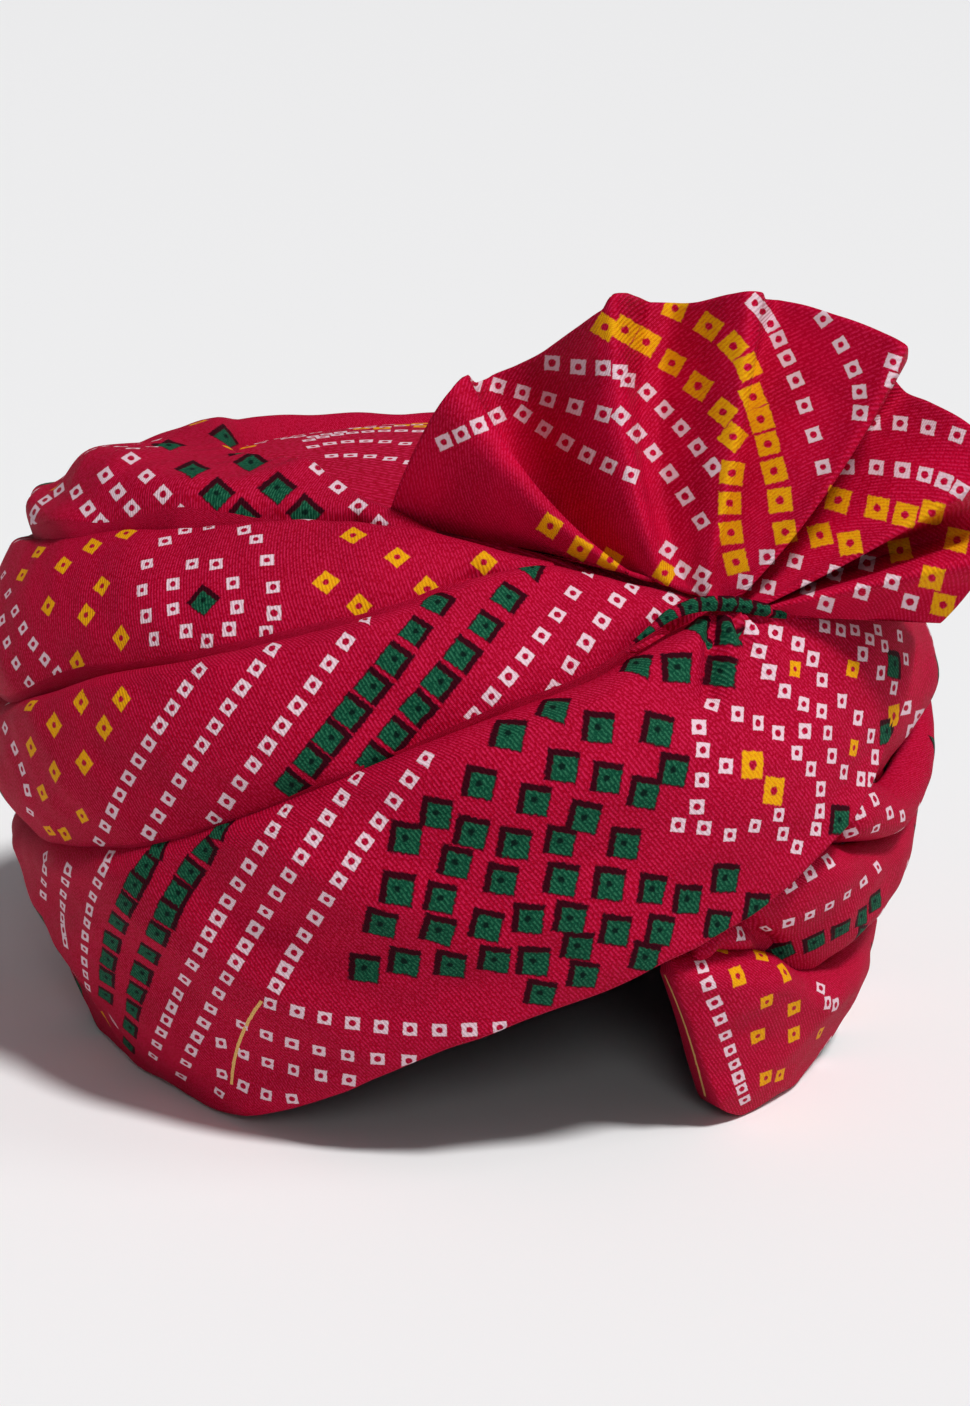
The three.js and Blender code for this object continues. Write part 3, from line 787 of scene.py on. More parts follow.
class NodeMaker:
    """Adds shader nodes to a material and joins them."""

    def __init__(self, name: str) -> None:
        """Makes an empty material.

        Args:
            name: The material's name.
        """
        self.material = bpy.data.materials.new(name)
        self.material.use_nodes = True
        self.tree = self.material.node_tree
        self.tree.nodes.clear()

    def add(self, kind: str, **settings: object) -> bpy.types.Node:
        """Adds one node.

        Args:
            kind: The node's type.
            settings: Its properties.

        Returns:
            The node.
        """
        node = self.tree.nodes.new(kind)
        for key, value in settings.items():
            setattr(node, key, value)
        return node

    def feed(self, socket: bpy.types.NodeSocket, value: object) -> None:
        """Joins a socket to another, or sets its value."""
        if isinstance(value, bpy.types.NodeSocket):
            self.tree.links.new(value, socket)
        else:
            socket.default_value = value

    def math(self, operation: str, *values: object, clamp: bool = False) -> bpy.types.NodeSocket:
        """Adds a math node.

        Args:
            operation: What it does.
            values: Its inputs, as numbers or sockets.
            clamp: Whether its result stays from 0 to 1.

        Returns:
            Its result.
        """
        node = self.add("ShaderNodeMath", operation=operation, use_clamp=clamp)
        for socket, value in zip(node.inputs, values):
            self.feed(socket, value)
        return node.outputs[0]

    def below(
        self, value: bpy.types.NodeSocket, edge: float, soft: float
    ) -> bpy.types.NodeSocket:
        """Returns 1 where a value is below an edge and 0 above it, with a soft step."""
        node = self.add("ShaderNodeMapRange", interpolation_type="SMOOTHSTEP")
        self.feed(node.inputs["Value"], value)
        node.inputs["From Min"].default_value = edge - soft
        node.inputs["From Max"].default_value = edge + soft
        node.inputs["To Min"].default_value = 1.0
        node.inputs["To Max"].default_value = 0.0
        return node.outputs[0]

    def mix(self, share: object, first: object, second: object) -> bpy.types.NodeSocket:
        """Mixes two colours.

        Args:
            share: The share of the second.
            first: A colour or a socket.
            second: A colour or a socket.

        Returns:
            The mixed colour.
        """
        node = self.add("ShaderNodeMix", data_type="RGBA")
        self.feed(node.inputs[0], share)
        self.feed(node.inputs[6], first)
        self.feed(node.inputs[7], second)
        return node.outputs[2]

    def attribute(self, name: str) -> tuple[bpy.types.NodeSocket, ...]:
        """Returns the three parts of a mesh attribute, and the whole of it."""
        node = self.add("ShaderNodeAttribute", attribute_name=name)
        parts = self.add("ShaderNodeSeparateXYZ")
        self.tree.links.new(node.outputs["Vector"], parts.inputs[0])
        return (*parts.outputs, node.outputs["Vector"])

    def noise(
        self, vector: bpy.types.NodeSocket, scale: float, detail: float = 2.0
    ) -> bpy.types.NodeSocket:
        """Returns a noise from 0 to 1 over a vector."""
        node = self.add("ShaderNodeTexNoise")
        self.feed(node.inputs["Vector"], vector)
        node.inputs["Scale"].default_value = scale
        node.inputs["Detail"].default_value = detail
        return node.outputs[0]


def linear(red: int, green: int, blue: int) -> tuple[float, float, float, float]:
    """Turns a colour seen on a screen into the renderer's.

    Args:
        red: Red from 0 to 255.
        green: Green from 0 to 255.
        blue: Blue from 0 to 255.

    Returns:
        The linear colour, with full alpha.
    """
    parts = [c / 255 for c in (red, green, blue)]
    return (*(c / 12.92 if c < 0.04045 else ((c + 0.055) / 1.055) ** 2.4 for c in parts), 1.0)


@dataclass(frozen=True)
class PrintedCloth:
    """Crimson twill with tied and printed squares on it, and highlights painted along its twill."""

    name: str
    ground: tuple[float, ...] = linear(166, 0, 37)
    deep: tuple[float, ...] = linear(156, 0, 32)
    # Painted highlight: a lighter pink mixed into the ground along the twill, in place of glints of
    # light on its threads.
    glint: tuple[float, ...] = linear(236, 46, 104)
    white: tuple[float, ...] = linear(226, 196, 206)
    yellow: tuple[float, ...] = linear(230, 166, 14)
    yellow_streak: tuple[float, ...] = linear(208, 104, 18)
    green: tuple[float, ...] = linear(8, 66, 46)
    green_deep: tuple[float, ...] = linear(5, 30, 24)
    # Painted highlight: a lighter green mixed into the green squares along the twill, in place of
    # glints of light.
    green_streak: tuple[float, ...] = linear(70, 150, 110)
    border: tuple[float, ...] = linear(52, 2, 16)
    thread: tuple[float, ...] = linear(222, 176, 104)
    roughness: float = 0.62
    twill_period: float = 1.1
    thread_period: float = 0.42
    ragged: float = 0.3
    ragged_scale: float = 1.2
    twill_slant: float = 0.8
    # How much of the painted highlight along the twill is mixed into the ground.
    glint_share: float = 0.45
    specular: float = 0.04
    weave_bump: float = 0.55
    weave_depth: float = 0.00022
    crease_bump: float = 0.35
    crease_depth: float = 0.0022
    crease_scale: float = 0.09
    square_edge: float = 0.94
    hole: float = 0.52
    yellow_speck: float = 0.33
    green_speck: float = 0.2
    leaf_half: float = 0.7
    leaf_shift: tuple[float, float] = (0.17, 0.15)

    def make(self) -> bpy.types.Material:
        """Returns the finish as a material."""
        n = NodeMaker(self.name)
        along, across, _, weave = n.attribute("weave")
        slant = n.math("ADD", along, n.math("MULTIPLY", across, self.twill_slant))
        twill = self._ridges(n, slant, self.twill_period)
        threads = self._ridges(n, n.math("SUBTRACT", across, along), self.thread_period)
        speck = n.noise(weave, 1.6, 1.0)
        patch = n.noise(weave, 0.05, 2.0)
        # Twill ridges broken by a fine noise: where glints of light are painted on the ground and
        # the green squares, and where the yellow turns a darker orange.
        painted_glint_and_streak = n.math("MULTIPLY", twill, n.below(speck, 0.52, 0.1))

        ground = n.mix(n.below(patch, 0.5, 0.3), self.ground, self.deep)
        # Painted highlight: the lighter pink of the glints is mixed into the ground along the twill.
        ground = n.mix(n.math("MULTIPLY", painted_glint_and_streak, self.glint_share), ground, self.glint)
        colour = ground
        for name in (PrintChart.next, PrintChart.near):
            colour = self._print(n, name, weave, painted_glint_and_streak, ground, colour)

        shader = n.add("ShaderNodeBsdfPrincipled")
        n.feed(shader.inputs["Base Color"], colour)
        shader.inputs["Roughness"].default_value = self.roughness
        shader.inputs["Specular IOR Level"].default_value = self.specular
        n.feed(shader.inputs["Normal"], self._relief(n, weave, twill, threads))
        output = n.add("ShaderNodeOutputMaterial")
        n.tree.links.new(shader.outputs[0], output.inputs["Surface"])
        return n.material

    def _ridges(
        self, n: NodeMaker, where: bpy.types.NodeSocket, period: float
    ) -> bpy.types.NodeSocket:
        """Returns even ridges from 0 to 1, one to a period in millimetres."""
        wave = n.math("SINE", n.math("MULTIPLY", where, 2 * math.pi / period))
        return n.math("MULTIPLY_ADD", wave, 0.5, 0.5)

    def _relief(
        self,
        n: NodeMaker,
        weave: bpy.types.NodeSocket,
        twill: bpy.types.NodeSocket,
        threads: bpy.types.NodeSocket,
    ) -> bpy.types.NodeSocket:
        """Returns the normal with its twill, threads and fine creases."""
        fine = n.math("ADD", twill, n.math("MULTIPLY", threads, 0.5))
        bump = n.add("ShaderNodeBump")
        bump.inputs["Strength"].default_value = self.weave_bump
        bump.inputs["Distance"].default_value = self.weave_depth
        n.feed(bump.inputs["Height"], fine)
        creases = n.add("ShaderNodeBump")
        creases.inputs["Strength"].default_value = self.crease_bump
        creases.inputs["Distance"].default_value = self.crease_depth
        n.feed(creases.inputs["Height"], n.noise(weave, self.crease_scale, 3.0))
        n.tree.links.new(creases.outputs[0], bump.inputs["Normal"])
        return bump.outputs[0]

    def _print(
        self,
        n: NodeMaker,
        name: str,
        weave: bpy.types.NodeSocket,
        painted_glint_and_streak: bpy.types.NodeSocket,
        ground: bpy.types.NodeSocket,
        colour: bpy.types.NodeSocket,
    ) -> bpy.types.NodeSocket:
        """Prints one layer of squares over a colour.

        Args:
            n: The material's nodes.
            name: The mesh attribute that holds the squares.
            weave: The place on the cloth, in millimetres.
            painted_glint_and_streak: Where the twill glints.
            ground: The cloth's own colour, with the painted highlights along the twill.
            colour: The colour to print over.

        Returns:
            The printed colour.
        """
        u, v, code, _ = n.attribute(name)
        kind = n.math("FLOOR", code)
        seed = n.math("FRACT", code)
        rough = n.add("ShaderNodeTexNoise")
        n.feed(rough.inputs["Vector"], weave)
        rough.inputs["Scale"].default_value = self.ragged_scale
        rough.inputs["Detail"].default_value = 2.0
        shake = n.add("ShaderNodeSeparateXYZ")
        n.tree.links.new(rough.outputs["Color"], shake.inputs[0])
        ragged = [
            n.math("MULTIPLY", n.math("SUBTRACT", part, 0.5), self.ragged)
            for part in shake.outputs[:2]
        ]
        u, v = n.math("ADD", u, ragged[0]), n.math("ADD", v, ragged[1])
        wide, tall = n.math("ABSOLUTE", u), n.math("ABSOLUTE", v)
        square = n.math("MAXIMUM", wide, tall)
        ring = n.math("SQRT", n.math("ADD", n.math("MULTIPLY", u, u), n.math("MULTIPLY", v, v)))
        inside = n.below(square, self.square_edge, 0.07)
        is_kind = {
            k: n.math("MULTIPLY", inside, n.math("COMPARE", kind, float(k), 0.1))
            for k in (Kind.WHITE, Kind.GREEN, Kind.YELLOW, Kind.THREAD)
        }

        # A tied dot: a white ring round a speck of the ground.
        hole = n.below(n.math("MULTIPLY_ADD", seed, 0.12, ring), self.hole, 0.08)
        dot = n.mix(hole, self.white, ground)
        colour = n.mix(is_kind[Kind.WHITE], colour, dot)

        # A yellow square with a red speck.
        body = n.mix(n.math("MULTIPLY", painted_glint_and_streak, 0.55), self.yellow, self.yellow_streak)
        speck = n.mix(n.below(ring, self.yellow_speck, 0.07), body, ground)
        colour = n.mix(is_kind[Kind.YELLOW], colour, speck)

        # A green square set off from its dark ground, which shows at two of its sides.
        shift_u = n.math("ABSOLUTE", n.math("SUBTRACT", u, self.leaf_shift[0]))
        shift_v = n.math("ABSOLUTE", n.math("ADD", v, self.leaf_shift[1]))
        leaf = n.below(n.math("MAXIMUM", shift_u, shift_v), self.leaf_half, 0.05)
        # Painted highlight: lighter green along the twill on the green square.
        body = n.mix(n.math("MULTIPLY", painted_glint_and_streak, 0.35), self.green, self.green_streak)
        body = n.mix(n.below(ring, self.green_speck, 0.08), body, self.green_deep)
        square_green = n.mix(leaf, self.border, body)
        colour = n.mix(is_kind[Kind.GREEN], colour, square_green)
        return n.mix(is_kind[Kind.THREAD], colour, self.thread)


@dataclass(frozen=True)
class LiningCloth:
    """The plain dark lining."""

    name: str = "lining_cloth"
    ground: tuple[float, ...] = linear(84, 62, 74)
    deep: tuple[float, ...] = linear(62, 44, 60)
    threads: float = 8.0
    roughness: float = 0.8
    specular: float = 0.25
    sheen: float = 0.15
    bump: float = 0.3
    depth: float = 0.0001

    def make(self) -> bpy.types.Material:
        """Returns the finish as a material."""
        n = NodeMaker(self.name)
        along, across, _, weave = n.attribute("weave")
        warp = n.math("SINE", n.math("MULTIPLY", along, self.threads))
        weft = n.math("SINE", n.math("MULTIPLY", across, self.threads))
        threads = n.math("MULTIPLY", warp, weft)
        shader = n.add("ShaderNodeBsdfPrincipled")
        n.feed(shader.inputs["Base Color"], n.mix(n.noise(weave, 0.06), self.ground, self.deep))
        shader.inputs["Roughness"].default_value = self.roughness
        shader.inputs["Specular IOR Level"].default_value = self.specular
        shader.inputs["Sheen Weight"].default_value = self.sheen
        bump = n.add("ShaderNodeBump")
        bump.inputs["Strength"].default_value = self.bump
        bump.inputs["Distance"].default_value = self.depth
        n.feed(bump.inputs["Height"], threads)
        n.tree.links.new(bump.outputs[0], shader.inputs["Normal"])
        output = n.add("ShaderNodeOutputMaterial")
        n.tree.links.new(shader.outputs[0], output.inputs["Surface"])
        return n.material


def cloth_object(
    name: str, rings: np.ndarray, weave: np.ndarray, wraps: bool = False
) -> bpy.types.Object:
    """Makes a closed cloth mesh from rings of points.

    Args:
        name: The piece's name.
        rings: Closed rings of points in millimetres, ring by point by axis.
        weave: The place on the cloth of every point, in millimetres, with two parts.
        wraps: Whether the last ring joins the first. Otherwise both ends are capped.

    Returns:
        The new object.
    """
    count, size = rings.shape[:2]
    points = rings.reshape(-1, 3)
    places = weave.reshape(-1, 2)
    steps = np.arange(count if wraps else count - 1)
    a = (steps[:, None] * size + np.arange(size)).ravel()
    b = (steps[:, None] * size + (np.arange(size) + 1) % size).ravel()
    ahead_a = (a + size) % (count * size)
    ahead_b = (b + size) % (count * size)
    faces = np.stack([a, b, ahead_b, ahead_a], axis=1).tolist()
    if not wraps:
        middles = [rings[0].mean(axis=0), rings[-1].mean(axis=0)]
        points = np.concatenate([points, middles])
        places = np.concatenate([places, [weave[0].mean(axis=0), weave[-1].mean(axis=0)]])
        last = (count - 1) * size
        for k in range(size):
            after = (k + 1) % size
            faces.append([count * size, after, k])
            faces.append([count * size + 1, last + k, last + after])
    mesh = bpy.data.meshes.new(name)
    mesh.from_pydata((points * MM).tolist(), [], faces)
    mesh.update()
    mesh.polygons.foreach_set("use_smooth", [True] * len(mesh.polygons))
    layer = mesh.attributes.new("weave", "FLOAT_VECTOR", "POINT")
    flat = np.zeros((len(points), 3), np.float32)
    flat[:, :2] = places
    layer.data.foreach_set("vector", flat.ravel())
    turned_out(mesh)
    made = bpy.data.objects.new(name, mesh)
    bpy.context.scene.collection.objects.link(made)
    return made


def turned_out(mesh: bpy.types.Mesh) -> None:
    """Turns a closed mesh's faces outwards if they face in."""
    mesh.calc_loop_triangles()
    points = np.empty(len(mesh.vertices) * 3)
    mesh.vertices.foreach_get("co", points)
    corners = np.empty(len(mesh.loop_triangles) * 3, np.int32)
    mesh.loop_triangles.foreach_get("vertices", corners)
    a, b, c = points.reshape(-1, 3)[corners.reshape(-1, 3)].transpose(1, 0, 2)
    if (a * np.cross(b, c)).sum() < 0:
        mesh.flip_normals()


# Where the gather lies, and how wide its pinched folds spread.
GATHER_AZIMUTH = 17.7
GATHER_UP = 68.9
GATHER_OUT = 3.0
AZIMUTH_LENGTH = 2.2
UP_LENGTH = 1.95


@dataclass
class Piece:
    """One piece of the turban, which stands for the solid of the same name."""

    name: str
    finish: bpy.types.Material
    slot: str
    seed: int
    flat: tuple[float, float]
    held: str = "folded"
    rests_on: tuple[str, ...] = ()
    area: float | None = None
    chart: list[Row | Spots] = field(default_factory=list)

    def dress(self, made: bpy.types.Object) -> None:
        """Finishes a mesh as this piece.

        Args:
            made: The piece's object.
        """
        made.data.materials.append(self.finish)
        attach(made, BODY)
        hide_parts(self.name)
        cloth = sum(polygon.area for polygon in made.data.polygons) / 2
        log.info("%s: %d faces, %.4f m2", made.name, len(made.data.polygons), cloth)


@dataclass
class Turn(Piece):
    """One turn of folded cloth round the dome."""

    table: list[TurnRow] = field(default_factory=list)
    hem: bool = False
    creases: tuple[Crease, ...] = ()
    step: float = 1.35
    face_steps: int = 46
    fold_steps: int = 12
    inside_steps: int = 6
    inside: float = -8.0
    roll: float = 7.0
    tuck: float = 5.0
    facing: float = 0.0
    sink: float = 5.0
    left_sink: float = 5.5
    sink_power: float = 2.4
    left_azimuth: float = 52.0
    left_spread: float = 30.0
    hem_round: float = 3.2
    arch_round: float = 1.1
    arch_starts: float = 300.0
    arch_full: float = 318.0
    end_full: float = 22.0
    end_stops: float = 34.0
    ripple: float = 0.55
    pinch: float = 2.1
    pinch_spokes: int = 9
    pinch_reach: float = 22.0
    pinch_start: float = 8.0
    fold_turn: float = 1.45
    row_group: ClassVar[tuple[Kind, ...]] = (
        Kind.WHITE, Kind.WHITE, Kind.GREEN, Kind.GREEN, Kind.WHITE, Kind.YELLOW
    )
    row_gap: ClassVar[float] = 5.2
    row_slant: ClassVar[float] = 13.0
    rows_start: ClassVar[float] = 41.2
    rows_stop: ClassVar[float] = 312.0

    def build(self) -> bpy.types.Object:
        """Returns the turn, printed and dressed."""
        rows = SmoothTable(self.table)
        first, last = self.table[0].azimuth, self.table[-1].azimuth
        count = int((last - first) * AZIMUTH_LENGTH / self.step)
        azimuth = np.linspace(first, last, count)[:, None]
        rings, weave = self._sections(rows, azimuth)
        made = cloth_object(self.name + "_cloth", rings, weave)
        chart = PrintChart(made.data, self.seed, self.facing)
        chart.lay(self.chart)
        self._print_behind(chart, rows)
        chart.finish()
        self.dress(made)
        return made

    def _sections(self, rows: SmoothTable, azimuth: np.ndarray) -> tuple[np.ndarray, np.ndarray]:
        """Works out the cloth's sections.

        Args:
            rows: The turn's own table.
            azimuth: The azimuths of the sections, as a column.

        Returns:
            The rings of points, and the place of each on the cloth.
        """
        lower, upper = rows.at("lower", azimuth), rows.at("upper", azimuth)
        swell = rows.at("swell", azimuth)
        length, _, _ = DOME.slope(azimuth, upper)
        roll = np.minimum(self.roll / length, 0.4 * (upper - lower))
        bottom = lower if self.hem else np.minimum(lower + self.tuck, upper - 2 * roll)
        full = upper - roll

        share = np.linspace(0, 1, self.face_steps)[None]
        up = bottom + share * (full - bottom)
        sink = self._sink(azimuth, share, (full - bottom) * UP_LENGTH)
        face = DOME.point(azimuth, up, swell - sink + self._relief(azimuth, up))
        if self.hem:
            face[..., 2] = np.maximum(face[..., 2], 0)

        turn = np.linspace(0, self.fold_turn, self.fold_steps + 1)[None, 1:]
        fold_up = full + roll * np.sin(turn)
        proud = swell + self._relief(azimuth, fold_up) - self.inside
        fold = DOME.point(azimuth, fold_up, self.inside + proud * np.cos(turn))

        back_share = np.linspace(0.97, 0, self.inside_steps)[None]
        back_up = lower + back_share * (upper - lower)
        behind = DOME.point(azimuth, back_up, self.inside)
        if self.hem:
            behind[:, -1] = DOME.point(azimuth, lower, self.inside, level=True)[:, 0]

        rings = np.concatenate([face, fold, behind], axis=1)
        along = np.broadcast_to(azimuth * AZIMUTH_LENGTH, rings.shape[:2])
        places = np.concatenate([up, fold_up + 3 * turn, 2 * upper - back_up], axis=1) * UP_LENGTH
        return rings, np.stack([along, places], axis=-1)

    def _sink(
        self, azimuth: np.ndarray, share: np.ndarray, height: np.ndarray
    ) -> np.ndarray:
        """Works out how far the face lies in from its swell.

        Args:
            azimuth: Azimuths in degrees.
            share: Shares of the way up the face.
            height: How tall the face is, in millimetres.

        Returns:
            Distances in millimetres.
        """
        if self.hem:
            arch = (azimuth - self.arch_starts) / (self.arch_full - self.arch_starts)
            end = (self.end_stops - azimuth) / (self.end_stops - self.end_full)
            sharp = np.clip(np.maximum(arch, end), 0, 1)
            edge = self.hem_round + (self.arch_round - self.hem_round) * sharp
            near = np.clip(share * height / edge, 0, 1)
            return edge * (1 - np.sqrt(1 - (1 - near) ** 2)) + 0.9 * (1 - share) ** 2
        left = np.exp(-(((azimuth - self.left_azimuth) / self.left_spread) ** 2))
        return (self.sink + self.left_sink * left) * (1 - share) ** self.sink_power

    def _relief(self, azimuth: np.ndarray, up: np.ndarray) -> np.ndarray:
        """Works out the soft folds of the cloth.

        Args:
            azimuth: Azimuths in degrees.
            up: Shares of the way up, in per cent.

        Returns:
            How far the cloth stands proud there, in millimetres.
        """
        azimuth, up = np.broadcast_arrays(azimuth, up)
        along, across = azimuth * AZIMUTH_LENGTH, up * UP_LENGTH
        proud = self.ripple * Ripples(self.seed, 80, 34).at(along, across)
        proud = proud + 0.3 * self.ripple * Ripples(self.seed + 50, 26, 14).at(along, across)
        for crease in self.creases:
            proud = proud + self._fold_at(crease, azimuth, up)
        away_along = ((azimuth - GATHER_AZIMUTH + 180) % 360 - 180) * AZIMUTH_LENGTH
        away_up = (up - GATHER_UP) * UP_LENGTH
        away = np.hypot(away_along, away_up)
        spokes = np.cos(self.pinch_spokes * np.arctan2(away_up, away_along) + self.seed)
        fade = np.exp(-away / self.pinch_reach)
        rise = np.clip(away / self.pinch_start, 0, 1)
        return proud + self.pinch * spokes * fade * rise

    def _fold_at(self, crease: Crease, azimuth: np.ndarray, up: np.ndarray) -> np.ndarray:
        """Returns how far one long fold lifts the cloth at each place."""
        start = np.array([crease.azimuth * AZIMUTH_LENGTH, crease.up * UP_LENGTH])
        run = np.array([crease.to_azimuth * AZIMUTH_LENGTH, crease.to_up * UP_LENGTH]) - start
        length = np.linalg.norm(run)
        run = run / length
        dx, dy = azimuth * AZIMUTH_LENGTH - start[0], up * UP_LENGTH - start[1]
        t = (dx * run[0] + dy * run[1]) / length
        off = dx * run[1] - dy * run[0]
        ends = np.clip(np.minimum(t, 1 - t) * 4, 0, 1)
        ends = ends * ends * (3 - 2 * ends)
        return crease.height * ends * np.exp(-((off / crease.width) ** 2))

    def _print_behind(self, chart: PrintChart, rows: SmoothTable) -> None:
        """Carries slanting rows of squares round the sides that the photograph doesn't show.

        Args:
            chart: The chart of the turn's mesh.
            rows: The turn's own table.
        """
        slant = self.row_slant
        for number, start in enumerate(np.arange(self.rows_start, self.rows_stop, self.row_gap)):
            kind = self.row_group[number % len(self.row_group)]
            ends = start + np.array([0.0, slant])
            uppers, lowers = rows.at("upper", ends), rows.at("lower", ends)
            low, high = lowers[0] + 1, uppers[1] + 1
            run = math.hypot(slant * AZIMUTH_LENGTH, (high - low) * UP_LENGTH)
            for t in np.arange(0.02, 1, PITCH[kind] / run):
                here = start + slant * t
                self._print_at(chart, kind, here, low + (high - low) * t, slant, high - low)

    def _print_at(
        self,
        chart: PrintChart,
        kind: Kind,
        azimuth: float,
        up: float,
        slant: float,
        rise: float,
    ) -> None:
        """Prints one square, if the photograph hardly shows the cloth there.

        Args:
            chart: The chart of the turn's mesh.
            kind: What is printed.
            azimuth: Where it goes.
            up: How far up it goes.
            slant: The degrees that its row runs over.
            rise: How far its row rises.
        """
        far, core = (DOME.point(azimuth, up, out) * MM for out in (60.0, 0.0))
        hit, normal, _, _ = chart.tree.ray_cast(Vector(far), Vector(core - far))
        if hit is None:
            return
        place, square = np.array(hit), np.array(normal)
        if not chart.unseen(place, square):
            return
        ahead = DOME.point(azimuth + slant * 0.05, up + rise * 0.05, 0.0) * MM
        spots = Spots(kind, (), diamond=kind == Kind.YELLOW)
        chart.add(kind, place, square, ahead - core, spots)


@dataclass
class Shell(Piece):
    """A dome of one wall of cloth, open below."""

    fan_hides: ClassVar[float] = 6.0
    row_group: ClassVar[tuple[Kind, ...]] = (
        Kind.WHITE, Kind.WHITE, Kind.GREEN, Kind.WHITE, Kind.YELLOW, Kind.WHITE
    )
    row_gap: ClassVar[float] = 8.5
    rows_start: ClassVar[float] = -6.0
    rows_stop: ClassVar[float] = 95.0
    half_width: ClassVar[float] = 90.0
    facing: ClassVar[float] = 0.5
    lowest: ClassVar[float] = 66.0
    highest: ClassVar[float] = 99.7
    outer: float = -4.0
    inner: float = -8.0
    steps: int = 40
    stations: int = 300
    rim: float = 0.4
    ripple: float = 0.35
    print_rows: bool = True

    def foot(self, azimuth: np.ndarray) -> np.ndarray:
        """Returns how far up the shell's lower edge lies."""
        return np.full_like(azimuth, self.lowest)

    def build(self) -> bpy.types.Object:
        """Returns the shell, printed and dressed."""
        azimuth = np.linspace(0, 360, self.stations, endpoint=False)[:, None]
        low = self.foot(azimuth)
        share = np.linspace(0, 1, self.steps)[None] ** 0.92
        up = low + (self.highest - low) * share
        proud = self.ripple * Ripples(self.seed, 60, 60).at(
            np.sin(np.radians(azimuth)) * (100 - up) * UP_LENGTH,
            np.cos(np.radians(azimuth)) * (100 - up) * UP_LENGTH,
        )
        walls = [
            DOME.point(azimuth, up, self.outer + proud),
            DOME.point(azimuth, up, self.inner + proud)[:, ::-1],
        ]
        rings = np.concatenate(walls, axis=1)
        around = np.radians(azimuth)
        reach = (100 - up) * UP_LENGTH
        flat = np.stack([reach * np.sin(around), -reach * np.cos(around)], axis=-1)
        weave = np.concatenate([flat, flat[:, ::-1]], axis=1)
        made = self._closed(rings, weave)
        chart = PrintChart(made.data, self.seed, self.facing)
        if self.print_rows:
            chart.lay(self.chart)
            self._print_top(chart)
        chart.finish()
        self.dress(made)
        return made

    def _closed(self, rings: np.ndarray, weave: np.ndarray) -> bpy.types.Object:
        """Returns the shell's mesh, with both walls drawn together at the top.

        Args:
            rings: Open rings that run up the outer wall and down the inner one.
            weave: The place on the cloth of every point.
        """
        half = rings.shape[1] // 2
        rings = rings.copy()
        weave = weave.copy()
        rings[:, half - 1] = rings[:, half - 1].mean(axis=0)
        rings[:, half] = rings[:, half].mean(axis=0)
        weave[:, half - 1 : half + 1] = 0
        stations, size = rings.shape[:2]
        made = cloth_object(self.name + "_cloth", rings, weave, wraps=True)
        mesh = made.data
        doomed = {half - 1 + s * size for s in range(stations)}
        other = {half + s * size for s in range(stations)}
        faces = []
        for polygon in mesh.polygons:
            corners = [
                half - 1 if c in doomed else half if c in other else c for c in polygon.vertices
            ]
            kept = [c for i, c in enumerate(corners) if c != corners[i - 1]]
            if len(kept) >= 3 and not {half - 1, half} <= set(kept):
                faces.append(kept)
        used = sorted({c for f in faces for c in f})
        renumber = {c: i for i, c in enumerate(used)}
        points = [tuple(mesh.vertices[c].co) for c in used]
        places = [tuple(mesh.attributes["weave"].data[c].vector) for c in used]
        clean = bpy.data.meshes.new(mesh.name)
        clean.from_pydata(points, [], [[renumber[c] for c in f] for f in faces])
        clean.polygons.foreach_set("use_smooth", [True] * len(clean.polygons))
        layer = clean.attributes.new("weave", "FLOAT_VECTOR", "POINT")
        layer.data.foreach_set("vector", np.array(places, np.float32).ravel())
        clean.update()
        turned_out(clean)
        made.data = clean
        bpy.data.meshes.remove(mesh)
        return made

    def _print_top(self, chart: PrintChart) -> None:
        """Carries rows of squares over the top, where the fan or the far side hides it."""
        right, _, _ = CAMERA.axes()
        depth = np.cross([0, 0, 1.0], right)
        for number, far in enumerate(np.arange(self.rows_start, self.rows_stop, self.row_gap)):
            kind = self.row_group[number % len(self.row_group)]
            for side in np.arange(-self.half_width, self.half_width + 1, PITCH[kind]):
                top = (right * side + depth * far + DOME_AXIS + [0, 0, 300]) * MM
                hit, normal, _, _ = chart.tree.ray_cast(Vector(top), Vector((0, 0, -1)))
                if hit is None or normal.z < 0.3:
                    continue
                place, square = np.array(hit), np.array(normal)
                if side > self.fan_hides or chart.unseen(place, square):
                    chart.add(kind, place, square, right)


@dataclass
class Lining(Shell):
    """The dark inner dome, whose foot follows the hem and the arch over the brow."""

    hem_table: list[TurnRow] = field(default_factory=list)
    foot_gap: float = 0.7

    def foot(self, azimuth: np.ndarray) -> np.ndarray:
        """Returns how far up the lining's lower edge lies."""
        rows = SmoothTable(self.hem_table)
        around = np.where(azimuth < self.hem_table[0].azimuth + 1, azimuth + 360, azimuth)
        return rows.at("lower", around) + self.foot_gap


